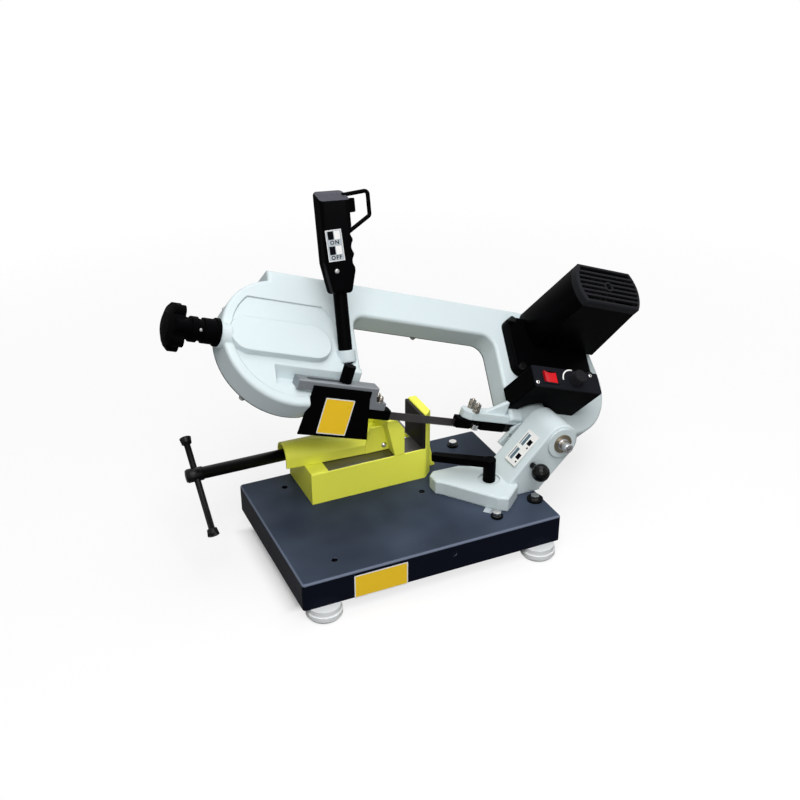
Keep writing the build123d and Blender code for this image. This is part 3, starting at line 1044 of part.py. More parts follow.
def control_box():
    """Switch box in front of the right housing, arched over the pivot boss."""
    body = block(BOX_X0, BOX_X1, BOX_M0, BOX_M1, N_FACE, BOX_N1)
    body = fillet(body.edges().filter_by(Axis.Z), BOX_EDGE_R)
    hollow = block(
        BOX_X0 + BOX_WALL, BOX_X1 - BOX_WALL, BOX_M0 + BOX_WALL, BOX_M1 - BOX_WALL, N_FACE + BOX_WALL, BOX_N1
    )
    body -= hollow - arch_room(BOX_WALL)
    return body - arch_room(0)


def arch_room(more):
    """Space of the arm's round end under the switch box."""
    return CUT * rod((0, -120, BLADE_DROP), (0, 1, 0), ARM_END_R + 2 + more, 200)


def control_panel():
    """Front plate of the switch box, with a raised frame around the rocker."""
    middle = (BOX_M0 + BOX_M1) / 2
    top = BOX_N1 + PANEL_T
    body = block(BOX_X0, BOX_X1, BOX_M0, BOX_M1, BOX_N1, top)
    body = fillet(body.edges().filter_by(Axis.Z), BOX_EDGE_R)
    half_l, half_w = ROCKER_L / 2 + SLIDE, ROCKER_W / 2 + SLIDE
    rim_l, rim_w = half_l + ROCKER_RIM, half_w + ROCKER_RIM
    left, right, low, high = ROCKER_X - rim_l, ROCKER_X + rim_l, middle - rim_w, middle + rim_w
    body += block(left, right, low, high, top, top + 1.5)
    deep = rocker_axis_n() - 5
    body += block(left, right, low, high, deep, BOX_N1)
    body -= block(
        ROCKER_X - half_l, ROCKER_X + half_l, middle - half_w, middle + half_w, deep, top + 1.5
    )
    pin_l = ROCKER_W + 2 * (SLIDE + ROCKER_RIM)
    body -= rod((ROCKER_X, middle - pin_l / 2, rocker_axis_n()), (0, 1, 0), ROCKER_PIN_R + RUN, pin_l)
    body += rod((DIAL_X, middle, BOX_N1 - 6), (0, 0, 1), DIAL_SHAFT_R + 3, 6)
    return body - rod((DIAL_X, middle, BOX_N1 - 6), (0, 0, 1), DIAL_SHAFT_R + RUN, PANEL_T + 6)


def rocker_switch():
    """Rocker with a hollowed face, turning on pins across the box."""
    middle = (BOX_M0 + BOX_M1) / 2
    n0 = rocker_axis_n()
    half = ROCKER_L / 2 - 0.7
    top = ROCKER_H + 1
    face = Polyline((-half, top), (-half + 1.5, -2), (half - 1.5, -2), (half, top))
    dip = ThreePointArc((half, top), (0, top - 2.5), (-half, top))
    outline = make_face(face + dip)
    plane = Plane(origin=(0, ROCKER_W / 2, 0), x_dir=(1, 0, 0), z_dir=(0, -1, 0))
    body = plane * extrude(outline, amount=ROCKER_W)
    pin_l = ROCKER_W + 2 * ROCKER_RIM
    body += rod((0, -pin_l / 2, 0), (0, 1, 0), ROCKER_PIN_R, pin_l)
    return Pos(ROCKER_X, middle, n0) * Rot(0, ROCKER_TILT, 0) * body


def rocker_axis_n():
    """Height of the rocker's pins above the bow plane."""
    return BOX_N1 - 3


def speed_knob():
    """Fluted dial on its spindle."""
    middle = (BOX_M0 + BOX_M1) / 2
    base = BOX_N1 + PANEL_T + DIAL_GAP
    body = Cone(DIAL_R, DIAL_R - 1, DIAL_H, align=(Align.CENTER, Align.CENTER, Align.MIN))
    body = Pos(0, 0, base) * chamfer(body.edges().group_by(Axis.Z)[-1], 1)
    for i in range(12):
        turn = 2 * pi * i / 12
        body -= rod((DIAL_R * cos(turn), DIAL_R * sin(turn), base + 3), (0, 0, 1), 1.2, DIAL_H)
    body += rod((0, 0, BOX_N1 - 6), (0, 0, 1), DIAL_SHAFT_R, base - BOX_N1 + 7)
    return Pos(DIAL_X, middle, 0) * body


def slotted_block(x0, x1):
    """Guide block with a slot for the blade, open below."""
    body = block(x0, x1, GUIDE_V0, GUIDE_V1, GUIDE_W0, GUIDE_W1)
    body = chamfer(body.edges().filter_by(Axis.X), 1.5)
    return body - block(x0, x1, -GUIDE_SLOT / 2, GUIDE_SLOT / 2, GUIDE_W0, BLADE_W / 2 + SLIDE)


def right_guide_block():
    """Fixed guide: two slotted blocks joined by a bridge over the rollers."""
    body = slotted_block(RIGHT_X0, RIGHT_X1) + slotted_block(RIGHT_X2, RIGHT_X3)
    body += block(RIGHT_X0, RIGHT_X3, GUIDE_V0 + 1.5, GUIDE_V1 - 1.5, BLADE_W / 2 + 2, GUIDE_W1)
    lap0, lap1 = RIGHT_X1 - BRIDGE_LAP, RIGHT_X2 + BRIDGE_LAP
    body += block(lap0, lap1, ARM_V0 + 1, ARM_V1 - 1, BLADE_W / 2 + 2, GUIDE_W1)
    for v in RIGHT_BOLT_V:
        body -= rod((RIGHT_BOLT_X, v, BLADE_W / 2), (0, 0, 1), RIGHT_BOLT_R, GUIDE_W1)
    middle = (RIGHT_X1 + RIGHT_X2) / 2
    for side in (-1, 1):
        body += rod((middle, roller_v(side), GUIDE_W1), (0, 0, -1), 2.5 - RUN, GUIDE_W1 - GUIDE_W0)
    return CUT * body


def roller_v(side):
    """Place of a guide roller beside the blade."""
    return side * (ROLLER_R + BLADE_T / 2 + RUN)


def guide_roller(side):
    """Roller on its pin, beside the blade."""
    middle = (RIGHT_X1 + RIGHT_X2) / 2
    return CUT * ring((middle, roller_v(side), GUIDE_W0), (0, 0, 1), ROLLER_R, 2.5, ROLLER_L)


def right_guide_bolts():
    """Bolts and nuts that hold the fixed guide to its arm."""
    top = GUIDE_W1 + ARM_T
    solids = []
    for v in RIGHT_BOLT_V:
        start = (RIGHT_BOLT_X, v, BLADE_W / 2 + 2)
        bolt = rod(start, (0, 0, 1), RIGHT_BOLT_R, top + RIGHT_BOLT_UP - BLADE_W / 2 - 2)
        bolt += hex_head((RIGHT_BOLT_X, v, top), (0, 0, 1), RIGHT_NUT_R, RIGHT_NUT_H)
        bolt += hex_head((RIGHT_BOLT_X, v, top + RIGHT_NUT_H + 2), (0, 0, 1), RIGHT_NUT_R, RIGHT_NUT_H)
        solids.append(bolt)
    return CUT * Compound(solids)


def guide_bar():
    """Sliding bar of the left guide, slotted for its clamp, with a foot over the guide block."""
    top = SEAT_W + BAR_H
    foot_x = BAR_X1 - BAR_FOOT_L
    body = block(BAR_X0, foot_x + BAR_LEG_L, BAR_V0, BAR_V1, SEAT_W + RUN, top)
    body += block(foot_x, foot_x + BAR_LEG_L, BAR_V0, BAR_V1, GUIDE_W1, SEAT_W + 2)
    body += block(foot_x, BAR_X1, BAR_V0, BAR_V1, GUIDE_W1, GUIDE_W1 + BAR_FOOT_H)
    body = chamfer(body.edges().filter_by(Axis.X).group_by(Axis.Z)[-1], 1.5)
    ends = (CLAMP_X - GUIDE_TRAVEL - 5, CLAMP_X + 5)
    middle = Pos((ends[0] + ends[1]) / 2, CLAMP_V)
    slot = middle * SlotOverall(ends[1] - ends[0], 2 * (CLAMP_SCREW_R + FREE))
    body -= plate(slot, SEAT_W, top)
    for v in LEFT_BOLT_V:
        body -= rod((LEFT_BOLT_X, v, GUIDE_W1), (0, 0, 1), LEFT_BOLT_R, BAR_FOOT_H)
    return CUT * body


def left_guide_block():
    """Slotted guide block under the foot of the bar."""
    body = slotted_block(LEFT_BLOCK_X0, LEFT_BLOCK_X1)
    for v in LEFT_BOLT_V:
        body -= rod((LEFT_BOLT_X, v, BLADE_W / 2 + 2), (0, 0, 1), LEFT_BOLT_R, GUIDE_W1)
    return CUT * body


def left_guide_bolts():
    """Bolts and nuts of the left guide."""
    top = GUIDE_W1 + BAR_FOOT_H
    solids = []
    for v in LEFT_BOLT_V:
        start = (LEFT_BOLT_X, v, BLADE_W / 2 + 2)
        bolt = rod(start, (0, 0, 1), LEFT_BOLT_R, top + LEFT_NUT_H - BLADE_W / 2)
        bolt += hex_head((LEFT_BOLT_X, v, top), (0, 0, 1), LEFT_NUT_R, LEFT_NUT_H)
        solids.append(bolt)
    return CUT * Compound(solids)


def front_guard():
    """Sheet guard in front of the blade, hung on the front of the guide bar."""
    body = prism_xz(GUARD_OUTLINE, BAR_V0 - GUARD_T, BAR_V0)
    low = (GUARD_OUTLINE[0][0], GUARD_OUTLINE[1][0])
    body += block(low[0], low[1], BAR_V0 - GUARD_T, BAR_V0, GUARD_OUTLINE[0][1], SEAT_W + 8)
    return CUT * body


def guide_clamp():
    """Lobed clamp knob of the left guide with its screw."""
    top = SEAT_W + BAR_H + SLIDE
    body = Pos(0, 0, top) * lobed(CLAMP_R, CLAMP_LOBES, 2.5, CLAMP_H)
    body = body + rod((0, 0, top - BAR_H - CLAMP_DEPTH), (0, 0, 1), CLAMP_SCREW_R, BAR_H + CLAMP_DEPTH + 1)
    return CUT * (Pos(CLAMP_X, CLAMP_V, 0) * body)


def handle_axis():
    """Direction and root of the handle in the bow frame."""
    lean, tilt = radians(HANDLE_LEAN), radians(HANDLE_TILT)
    world = Vector(sin(tilt), sin(lean) * cos(tilt), cos(lean) * cos(tilt))
    axis = Vector(world.dot(ALONG), world.dot(ACROSS), world.dot(OUT))
    return axis, Vector(HANDLE_X, HANDLE_M, N_FACE)


def handle_frame():
    """Frame of the handle in the bow frame: z along the grip, x towards the fingers."""
    axis, root = handle_axis()
    right = Vector(Vector(1, 0, 0).dot(ALONG), Vector(1, 0, 0).dot(ACROSS), Vector(1, 0, 0).dot(OUT))
    return Plane(origin=root, x_dir=right - axis * axis.dot(right), z_dir=axis)


def handle_tube():
    """Tube between the left housing and the grip."""
    start = (0, 0, -TUBE_IN)
    length = TUBE_IN + TUBE_OUT + GRIP_OVERLAP
    return handle_frame() * ring(start, (0, 0, 1), TUBE_R, TUBE_R - TUBE_T, length)


def grip_solid():
    """Pistol grip: tapered tail, finger bumps on one side, room for the tube and the trigger."""
    z0, z1 = TUBE_OUT, TUBE_OUT + GRIP_L
    half, tail = GRIP_W / 2, GRIP_TAIL_W / 2
    outline = (
        (-tail, z0), (tail, z0), (half, z0 + GRIP_TAIL_L), (half, z1), (-half, z1),
        (-half, z0 + GRIP_TAIL_L + 14),
    )
    body = prism_xz(outline, -GRIP_D / 2, GRIP_D / 2)
    body = fillet(body.edges().filter_by(Axis.Y), GRIP_EDGE_R)
    flat_sides = body.faces().filter_by(Axis.Y)
    body = fillet(flat_sides.edges(), GRIP_EDGE_R - 1)
    for i in range(FINGER_COUNT):
        z = z0 + GRIP_TAIL_L + 4 + FINGER_PITCH * (i + 0.5)
        body -= rod((half + FINGER_R - FINGER_DEPTH, -GRIP_D, z), (0, 1, 0), FINGER_R, 2 * GRIP_D)
    body -= rod((0, 0, z0), (0, 0, 1), TUBE_R, GRIP_OVERLAP)
    return body - trigger_room() - guard_rod()


def trigger_room():
    """Pocket of the trigger in the grip."""
    x0 = GRIP_W / 2 - TRIGGER_IN - TRIGGER_TRAVEL
    z = TUBE_OUT + TRIGGER_Z
    half_h, half_w = TRIGGER_H / 2 + SLIDE, TRIGGER_W / 2 + SLIDE
    return block(x0, GRIP_W, -half_w, half_w, z - half_h, z + half_h)


def grip_front():
    """Half of the grip that faces the operator."""
    return handle_frame() * (grip_solid() & block(-80, 80, -GRIP_D, 0, 0, 400))


def grip_back():
    """Half of the grip that faces the beam."""
    return handle_frame() * (grip_solid() & block(-80, 80, 0, GRIP_D, 0, 400))


def trigger():
    """Push button of the grip."""
    z = TUBE_OUT + TRIGGER_Z
    x0 = GRIP_W / 2 - TRIGGER_IN
    half_w, half_h = TRIGGER_W / 2, TRIGGER_H / 2
    body = block(x0, GRIP_W / 2 + TRIGGER_OUT, -half_w, half_w, z - half_h, z + half_h)
    return handle_frame() * fillet(body.edges().filter_by(Axis.Y).group_by(Axis.X)[-1], 2)


def trigger_guard():
    """Bent rod that guards the trigger."""
    return handle_frame() * guard_rod()


def guard_rod():
    """Rod of the trigger guard in the handle's frame, let into the grip at both ends."""
    top = TUBE_OUT + GRIP_L - 8
    low = TUBE_OUT + GUARD_LOW
    start = GRIP_W / 2 - 5
    out = GRIP_W / 2 + GUARD_REACH
    path = FilletPolyline(
        (start, 0, top), (out, 0, top + 4), (out, 0, low + 24), (start, 0, low), radius=5
    )
    section = Plane(origin=path @ 0, z_dir=path % 0) * Circle(GUARD_ROD_R)
    return sweep(section, path=path)


BASE_NODES = {
    "base_tray": base_tray,
    "rubber_feet": rubber_feet,
    "foot_screws": foot_screws,
    "vise_bed": vise_bed,
    "vise_bolts": vise_bolts,
    "fixed_jaw": fixed_jaw,
    "fixed_jaw_plate": fixed_jaw_plate,
    "vise_nut": vise_nut,
    "moving_jaw": moving_jaw,
    "moving_jaw_plate": moving_jaw_plate,
    "vise_screw": vise_screw,
    "tommy_bar": tommy_bar,
    "swivel_pivot_bolt": swivel_pivot_bolt,
    "stop_bolts": stop_bolts,
    "swivel_arm": swivel_arm,
    "lock_stud": lock_stud,
    "lock_lever": lock_lever,
    "ball_screw": ball_screw,
    "ball_knob": ball_knob,
    "pivot_bushes": pivot_bushes,
    "pivot_shaft": pivot_shaft,
}

BOW_NODES = {
    "bow_casting": bow_casting,
    "wheel_cover": wheel_cover,
    "cover_knobs": cover_knobs,
    "blade": blade,
    "idler_wheel": idler_wheel,
    "idler_bearings": idler_bearings,
    "tension_slide": tension_slide,
    "tension_screw": tension_screw,
    "tension_sleeve": tension_sleeve,
    "tension_knob": tension_knob,
    "drive_wheel": drive_wheel,
    "drive_shaft": drive_shaft,
    "drive_gear": drive_gear,
    "drive_bearings": drive_bearings,
    "gear_cover": gear_cover,
    "gear_cover_bolts": gear_cover_bolts,
    "motor_housing": motor_housing,
    "fan_cover": fan_cover,
    "motor_rotor": motor_rotor,
    "cooling_fan": cooling_fan,
    "control_box": control_box,
    "control_panel": control_panel,
    "rocker_switch": rocker_switch,
    "speed_knob": speed_knob,
    "right_guide_block": right_guide_block,
    "right_guide_bolts": right_guide_bolts,
    "guide_roller_front": lambda: guide_roller(-1),
    "guide_roller_back": lambda: guide_roller(1),
    "guide_bar": guide_bar,
    "left_guide_block": left_guide_block,
    "left_guide_bolts": left_guide_bolts,
    "front_guard": front_guard,
    "guide_clamp": guide_clamp,
    "handle_tube": handle_tube,
    "grip_front": grip_front,
    "grip_back": grip_back,
    "trigger": trigger,
    "trigger_guard": trigger_guard,
}

os.makedirs("parts", exist_ok=True)
STAND = Pos(-MACHINE_X, -MACHINE_Y, 0)
for name, make in BASE_NODES.items():
    export_step(STAND * make(), f"parts/{name}.step")
for name, make in BOW_NODES.items():
    export_step(STAND * BOW.location * make(), f"parts/{name}.step")
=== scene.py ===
"""Looks of a bench band saw for metal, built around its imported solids.

Sizes are millimetres in the machine's own frames. Every finished mesh is in metres, in the frame of
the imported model, with its object at the origin.
"""
from __future__ import annotations

import json
import logging
import math
from abc import ABC, abstractmethod
from dataclasses import dataclass, fields
from enum import Enum
from typing import Any, Mapping, Sequence

import bmesh
import bpy
from bmesh.types import BMEdge, BMesh, BMVert
from bpy.types import Material, Mesh, Node, NodeSocket, NodeTree, Object
from mathutils import Matrix, Vector

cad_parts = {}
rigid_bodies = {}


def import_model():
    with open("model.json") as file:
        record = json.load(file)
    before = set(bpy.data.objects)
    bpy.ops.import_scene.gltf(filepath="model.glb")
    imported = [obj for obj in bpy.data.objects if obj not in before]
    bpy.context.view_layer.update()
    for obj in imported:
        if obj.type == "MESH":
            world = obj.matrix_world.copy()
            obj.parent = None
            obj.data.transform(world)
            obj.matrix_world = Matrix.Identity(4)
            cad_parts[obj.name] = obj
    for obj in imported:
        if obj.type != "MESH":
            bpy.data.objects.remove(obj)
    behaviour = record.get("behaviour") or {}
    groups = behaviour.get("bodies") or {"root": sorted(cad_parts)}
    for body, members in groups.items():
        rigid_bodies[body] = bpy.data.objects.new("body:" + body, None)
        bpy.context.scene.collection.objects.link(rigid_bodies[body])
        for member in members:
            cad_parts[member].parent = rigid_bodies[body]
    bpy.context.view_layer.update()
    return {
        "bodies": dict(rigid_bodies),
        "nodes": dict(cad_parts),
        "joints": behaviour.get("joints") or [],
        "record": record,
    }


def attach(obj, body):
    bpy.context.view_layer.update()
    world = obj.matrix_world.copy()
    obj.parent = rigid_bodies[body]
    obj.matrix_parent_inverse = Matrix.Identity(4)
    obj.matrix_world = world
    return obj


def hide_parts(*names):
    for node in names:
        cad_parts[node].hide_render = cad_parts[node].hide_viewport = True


LOG = logging.getLogger("band_saw")
MM = 0.001
MERGE = 1e-6
QUARTER = math.pi / 2
SHADING, GROWING = "ShaderNodeTree", "GeometryNodeTree"
FLOAT, COLOUR, VECTOR = "NodeSocketFloat", "NodeSocketColor", "NodeSocketVector"
GEOMETRY, MATERIAL, WHOLE = "NodeSocketGeometry", "NodeSocketMaterial", "NodeSocketInt"

Colour = tuple[float, float, float, float]
Point = tuple[float, float, float]
Pair = tuple[float, float]

ORIGIN: Point = (0.0, 0.0, 0.0)
WHITE: Colour = (1.0, 1.0, 1.0, 1.0)


def srgb(red: int, green: int, blue: int) -> Colour:
    """Turns a display colour into the linear one that shaders use.

    Args:
        red: Red, 0 to 255.
        green: Green, 0 to 255.
        blue: Blue, 0 to 255.

    Returns:
        Linear colour with full alpha.
    """
    parts = [value / 255 for value in (red, green, blue)]
    low = [part / 12.92 if part <= 0.04045 else ((part + 0.055) / 1.055) ** 2.4 for part in parts]
    return (low[0], low[1], low[2], 1.0)


class Body(str, Enum):
    """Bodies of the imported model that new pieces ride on."""

    BASE = "base"
    VISE_SLIDE = "vise_slide"
    VISE_SPINDLE = "vise_spindle"
    SWIVEL = "swivel"
    BOW = "bow"
    LEFT_GUIDE = "left_guide"


class Slot(str, Enum):
    """Slots of the record that the finishes of new pieces belong to."""

    VISE_PAINT = "vise_paint"
    WHITE_CASTING = "white_casting"
    BLACK_PLASTIC = "black_plastic"
    SCREW_BLACK = "screw_black"
    ZINC_BOLTS = "zinc_bolts"


class Grain(Enum):
    """Direction of the marks that machining leaves on a metal, as noise scales along X, Y and Z."""

    ALONG_X = (30.0, 900.0, 900.0)
    ALONG_Y = (900.0, 30.0, 900.0)
    EVEN = (700.0, 700.0, 700.0)


class SwitchRow(Enum):
    """States of the switch on the grip, with the foot of each row on its plate."""

    ON = 1.0
    OFF = -20.0


class TreeBuilder:
    """Adds nodes to a tree, with their inputs given as values or as sockets to link from."""

    def __init__(self, tree: NodeTree) -> None:
        """Keeps the tree to build in."""
        self.tree = tree

    def feed(self, node: Node, inputs: Mapping[int | str, Any]) -> None:
        """Sets inputs of a node.

        Args:
            node: Node to feed.
            inputs: Value or source socket for each input, by name or index.
        """
        for key, value in inputs.items():
            if isinstance(value, NodeSocket):
                self.tree.links.new(value, node.inputs[key])
            else:
                node.inputs[key].default_value = value

    def gather(self, node: Node, key: int | str, *sources: NodeSocket) -> None:
        """Links several sockets to one input that takes many."""
        for source in sources:
            self.tree.links.new(source, node.inputs[key])

    def add(self, kind: str, inputs: Mapping[int | str, Any] | None = None, **settings: Any) -> Node:
        """Adds one node.

        Args:
            kind: Type name of the node.
            inputs: Value or source socket for each input, by name or index.
            **settings: Properties of the node.

        Returns:
            The new node.
        """
        node = self.tree.nodes.new(kind)
        for key, value in settings.items():
            setattr(node, key, value)
        self.feed(node, inputs or {})
        return node

    def out(self, kind: str, inputs: Mapping[int | str, Any] | None = None, **settings: Any) -> NodeSocket:
        """Adds one node and returns its first output."""
        return self.add(kind, inputs, **settings).outputs[0]

    def group(self, tree: NodeTree, **inputs: Any) -> Node:
        """Adds a shader node group with its inputs and returns it."""
        return self.add("ShaderNodeGroup", inputs, node_tree=tree)

    def math(self, operation: str, first: Any, second: Any = 0.0) -> NodeSocket:
        """Adds a math node and returns its result."""
        return self.out("ShaderNodeMath", {0: first, 1: second}, operation=operation)

    def swing(self, value: Any, size: Any) -> NodeSocket:
        """Returns how far a value is from one half, times a size."""
        return self.math("MULTIPLY", self.math("SUBTRACT", value, 0.5), size)

    def shares(self, first: Any, second: Any, share: Pair) -> NodeSocket:
        """Returns the sum of two values, each times its share."""
        parts = [self.math("MULTIPLY", value, part) for value, part in zip((first, second), share)]
        return self.math("ADD", *parts)

    def blend(self, share: Any, first: Any, second: Any) -> NodeSocket:
        """Mixes two colours by a share and returns the result."""
        return self.add("ShaderNodeMix", {0: share, 6: first, 7: second}, data_type="RGBA").outputs[2]

    def span(self, value: Any, low: float, high: float, to_low: Any = 0.0, to_high: Any = 1.0) -> NodeSocket:
        """Maps a value from one range to another, clamped, and returns the result."""
        inputs = {"Value": value, "From Min": low, "From Max": high, "To Min": to_low, "To Max": to_high}
        return self.add("ShaderNodeMapRange", inputs).outputs["Result"]

    def place(self, kind: str = "Object") -> NodeSocket:
        """Returns the piece's own coordinates."""
        return self.add("ShaderNodeTexCoord").outputs[kind]

    def part(self, vector: NodeSocket, axis: str) -> NodeSocket:
        """Returns one part of a vector."""
        return self.add("ShaderNodeSeparateXYZ", {0: vector}).outputs[axis]

    def vector(self, **parts: Any) -> NodeSocket:
        """Returns a vector that is made of its parts."""
        return self.out("ShaderNodeCombineXYZ", parts)

    def noise(self, vector: Any, scale: Any, detail: float) -> NodeSocket:
        """Adds a noise texture and returns its value."""
        return self.out("ShaderNodeTexNoise", {"Vector": vector, "Scale": scale, "Detail": detail})


def cleared(owner: Material | bpy.types.World) -> TreeBuilder:
    """Gives a material or a world an empty node tree.

    Args:
        owner: Material or world.

    Returns:
        A builder for its tree.
    """
    owner.use_nodes = True
    owner.node_tree.nodes.clear()
    return TreeBuilder(owner.node_tree)


@dataclass(frozen=True)
class Socket:
    """One named socket of a node group, with its default value if it has one."""

    name: str
    default: Any = None
    kind: str = FLOAT


class GroupBuilder(TreeBuilder):
    """Builds a node group with named sockets."""

    def __init__(self, name: str, kind: str, inputs: Sequence[Socket], outputs: Sequence[Socket]) -> None:
        """Starts the group.

        Args:
            name: Name of the group.
            kind: Type of node tree.
            inputs: Sockets that go in.
            outputs: Sockets that come out.
        """
        super().__init__(bpy.data.node_groups.new(name, kind))
        for socket in inputs:
            made = self.tree.interface.new_socket(socket.name, in_out="INPUT", socket_type=socket.kind)
            if socket.default is not None:
                made.default_value = socket.default
        for socket in outputs:
            self.tree.interface.new_socket(socket.name, in_out="OUTPUT", socket_type=socket.kind)
        self.entry = self.add("NodeGroupInput")
        self.exit = self.add("NodeGroupOutput")

    def given(self, name: str) -> NodeSocket:
        """Returns one of the sockets that go in."""
        return self.entry.outputs[name]

    def end(self, **results: NodeSocket) -> NodeTree:
        """Links what comes out and returns the group."""
        self.feed(self.exit, results)
        return self.tree


@dataclass
class SurfaceEffects:
    """Shader node groups that several finishes share, each built once.

    Noises are pairs of scale and detail. Other pairs are where a change starts and where it ends, or
    the shares of two patterns.
    """

    bevel_samples: int = 6
    edge_turn: Pair = (0.97, 0.75)
    patch_detail: float = 4.0
    patch_range: Pair = (0.45, 0.65)
    slow_tone: Pair = (11.0, 3.0)
    fine_tone: Pair = (160.0, 5.0)
    tone_shares: Pair = (0.7, 0.3)
    smears: Pair = (38.0, 6.0)
    peel_detail: float = 2.0
    handling: Pair = (45.0, 5.0)
    streaks: Pair = (1.0, 3.0)
    stains: Pair = (55.0, 6.0)
    stain_shares: Pair = (0.5, 0.5)

    def __post_init__(self) -> None:
        """Builds the groups."""
        self.soft_edge = self._soft_edge()
        self.enamel_skin = self._enamel_skin()
        self.moulded_grain = self._moulded_grain()
        self.worked_metal = self._worked_metal()

    @staticmethod
    def _toned(group: GroupBuilder, pattern: NodeSocket, size: NodeSocket) -> NodeSocket:
        """Returns the group's colour, brighter and darker by a pattern."""
        inputs = {0: group.given("Colour"), 3: group.math("ADD", group.swing(pattern, size), 1.0)}
        return group.out("ShaderNodeVectorMath", inputs, operation="SCALE")

    @staticmethod
    def _gloss(group: GroupBuilder, pattern: NodeSocket) -> NodeSocket:
        """Returns the group's roughness, spread by a pattern."""
        spread = group.math("MULTIPLY", group.swing(pattern, 2.0), group.given("Spread"))
        return group.math("ADD", group.given("Roughness"), spread)

    def _soft_edge(self) -> NodeTree:
        """Rounds sharp edges in the shading and marks where they are.

        Returns:
            The group.
        """
        inputs = (Socket("Radius", 0.001), Socket("Break Up", 140.0))
        group = GroupBuilder("soft_edge", SHADING, inputs, (Socket("Normal", kind=VECTOR), Socket("Edge")))
        bevel = group.out("ShaderNodeBevel", {"Radius": group.given("Radius")}, samples=self.bevel_samples)
        pair = {0: bevel, 1: group.add("ShaderNodeNewGeometry").outputs["Normal"]}
        turn = group.add("ShaderNodeVectorMath", pair, operation="DOT_PRODUCT").outputs["Value"]
        edge = group.span(turn, *self.edge_turn)
        patch = group.noise(group.place(), group.given("Break Up"), self.patch_detail)
        worn = group.math("MULTIPLY", edge, group.span(patch, *self.patch_range))
        return group.end(Normal=bevel, Edge=worn)

    def _enamel_skin(self) -> NodeTree:
        """Makes sprayed paint: slow changes of tone, a fine orange peel and uneven gloss.

        Returns:
            The group.
        """
        inputs = (
            Socket("Colour", kind=COLOUR), Socket("Tone", 0.05), Socket("Peel", 700.0),
            Socket("Roughness", 0.3), Socket("Spread", 0.08),
        )
        outputs = (Socket("Colour", kind=COLOUR), Socket("Roughness"), Socket("Height"))
        group = GroupBuilder("enamel_skin", SHADING, inputs, outputs)
        place = group.place()
        slow, fine = group.noise(place, *self.slow_tone), group.noise(place, *self.fine_tone)
        colour = self._toned(group, group.shares(slow, fine, self.tone_shares), group.given("Tone"))
        gloss = self._gloss(group, group.noise(place, *self.smears))
        peel = group.noise(place, group.given("Peel"), self.peel_detail)
        return group.end(Colour=colour, Roughness=gloss, Height=peel)

    def _moulded_grain(self) -> NodeTree:
        """Makes moulded plastic: a pebbled skin and gloss that changes where it is handled.

        Returns:
            The group.
        """
        inputs = (Socket("Scale", 1500.0), Socket("Roughness", 0.5), Socket("Spread", 0.1))
        group = GroupBuilder("moulded_grain", SHADING, inputs, (Socket("Roughness"), Socket("Height")))
        place = group.place()
        cells = group.add("ShaderNodeTexVoronoi", {"Vector": place, "Scale": group.given("Scale")})
        gloss = self._gloss(group, group.noise(place, *self.handling))
        return group.end(Roughness=gloss, Height=cells.outputs["Distance"])

    def _worked_metal(self) -> NodeTree:
        """Makes ground or drawn metal: streaks along the cut, stains and uneven gloss.

        Returns:
            The group.
        """
        inputs = (
            Socket("Colour", kind=COLOUR), Socket("Streaks", kind=VECTOR), Socket("Stain", 0.2),
            Socket("Roughness", 0.3), Socket("Spread", 0.1),
        )
        outputs = (Socket("Colour", kind=COLOUR), Socket("Roughness"), Socket("Height"))
        group = GroupBuilder("worked_metal", SHADING, inputs, outputs)
        place = group.place()
        pair = {0: place, 1: group.given("Streaks")}
        streak = group.noise(group.out("ShaderNodeVectorMath", pair, operation="MULTIPLY"), *self.streaks)
        mixed = group.shares(streak, group.noise(place, *self.stains), self.stain_shares)
        colour = self._toned(group, mixed, group.given("Stain"))
        return group.end(Colour=colour, Roughness=self._gloss(group, mixed), Height=streak)


@dataclass(frozen=True)
class Finish(ABC):
    """A surface finish that makes one material, with its edges rounded by a radius."""

    name: str
    colour: Colour
    roughness: float
    edge: float

    def material(self, effects: SurfaceEffects) -> Material:
        """Makes the material, or finds it when it is already made.

        Args:
            effects: Shader node groups to build with.

        Returns:
            The material of this finish.
        """
        made = bpy.data.materials.get(self.name)
        if made is None:
            made = bpy.data.materials.new(self.name)
            tree = cleared(made)
            shader = tree.out("ShaderNodeBsdfPrincipled", self.surface(tree, effects))
            tree.add("ShaderNodeOutputMaterial", {"Surface": shader})
        return made

    @abstractmethod
    def surface(self, tree: TreeBuilder, effects: SurfaceEffects) -> dict[str, Any]:
        """Gives the inputs of the shader.

        Args:
            tree: Tree of the material.
            effects: Shader node groups to build with.

        Returns:
            Value or source socket for each input, by name.
        """

    def rounded(self, tree: TreeBuilder, effects: SurfaceEffects) -> Node:
        """Adds the group that softens edges and returns it."""
        return tree.group(effects.soft_edge, Radius=self.edge * MM)

    @staticmethod
    def relief(tree: TreeBuilder, edge: Node, skin: Node, strength: float, depth: float) -> NodeSocket:
        """Gives the normal of a skin over softened edges, with the strength and depth of its relief."""
        sources = {"Height": skin.outputs["Height"], "Normal": edge.outputs["Normal"]}
        return tree.out("ShaderNodeBump", {"Strength": strength, "Distance": depth * MM, **sources})


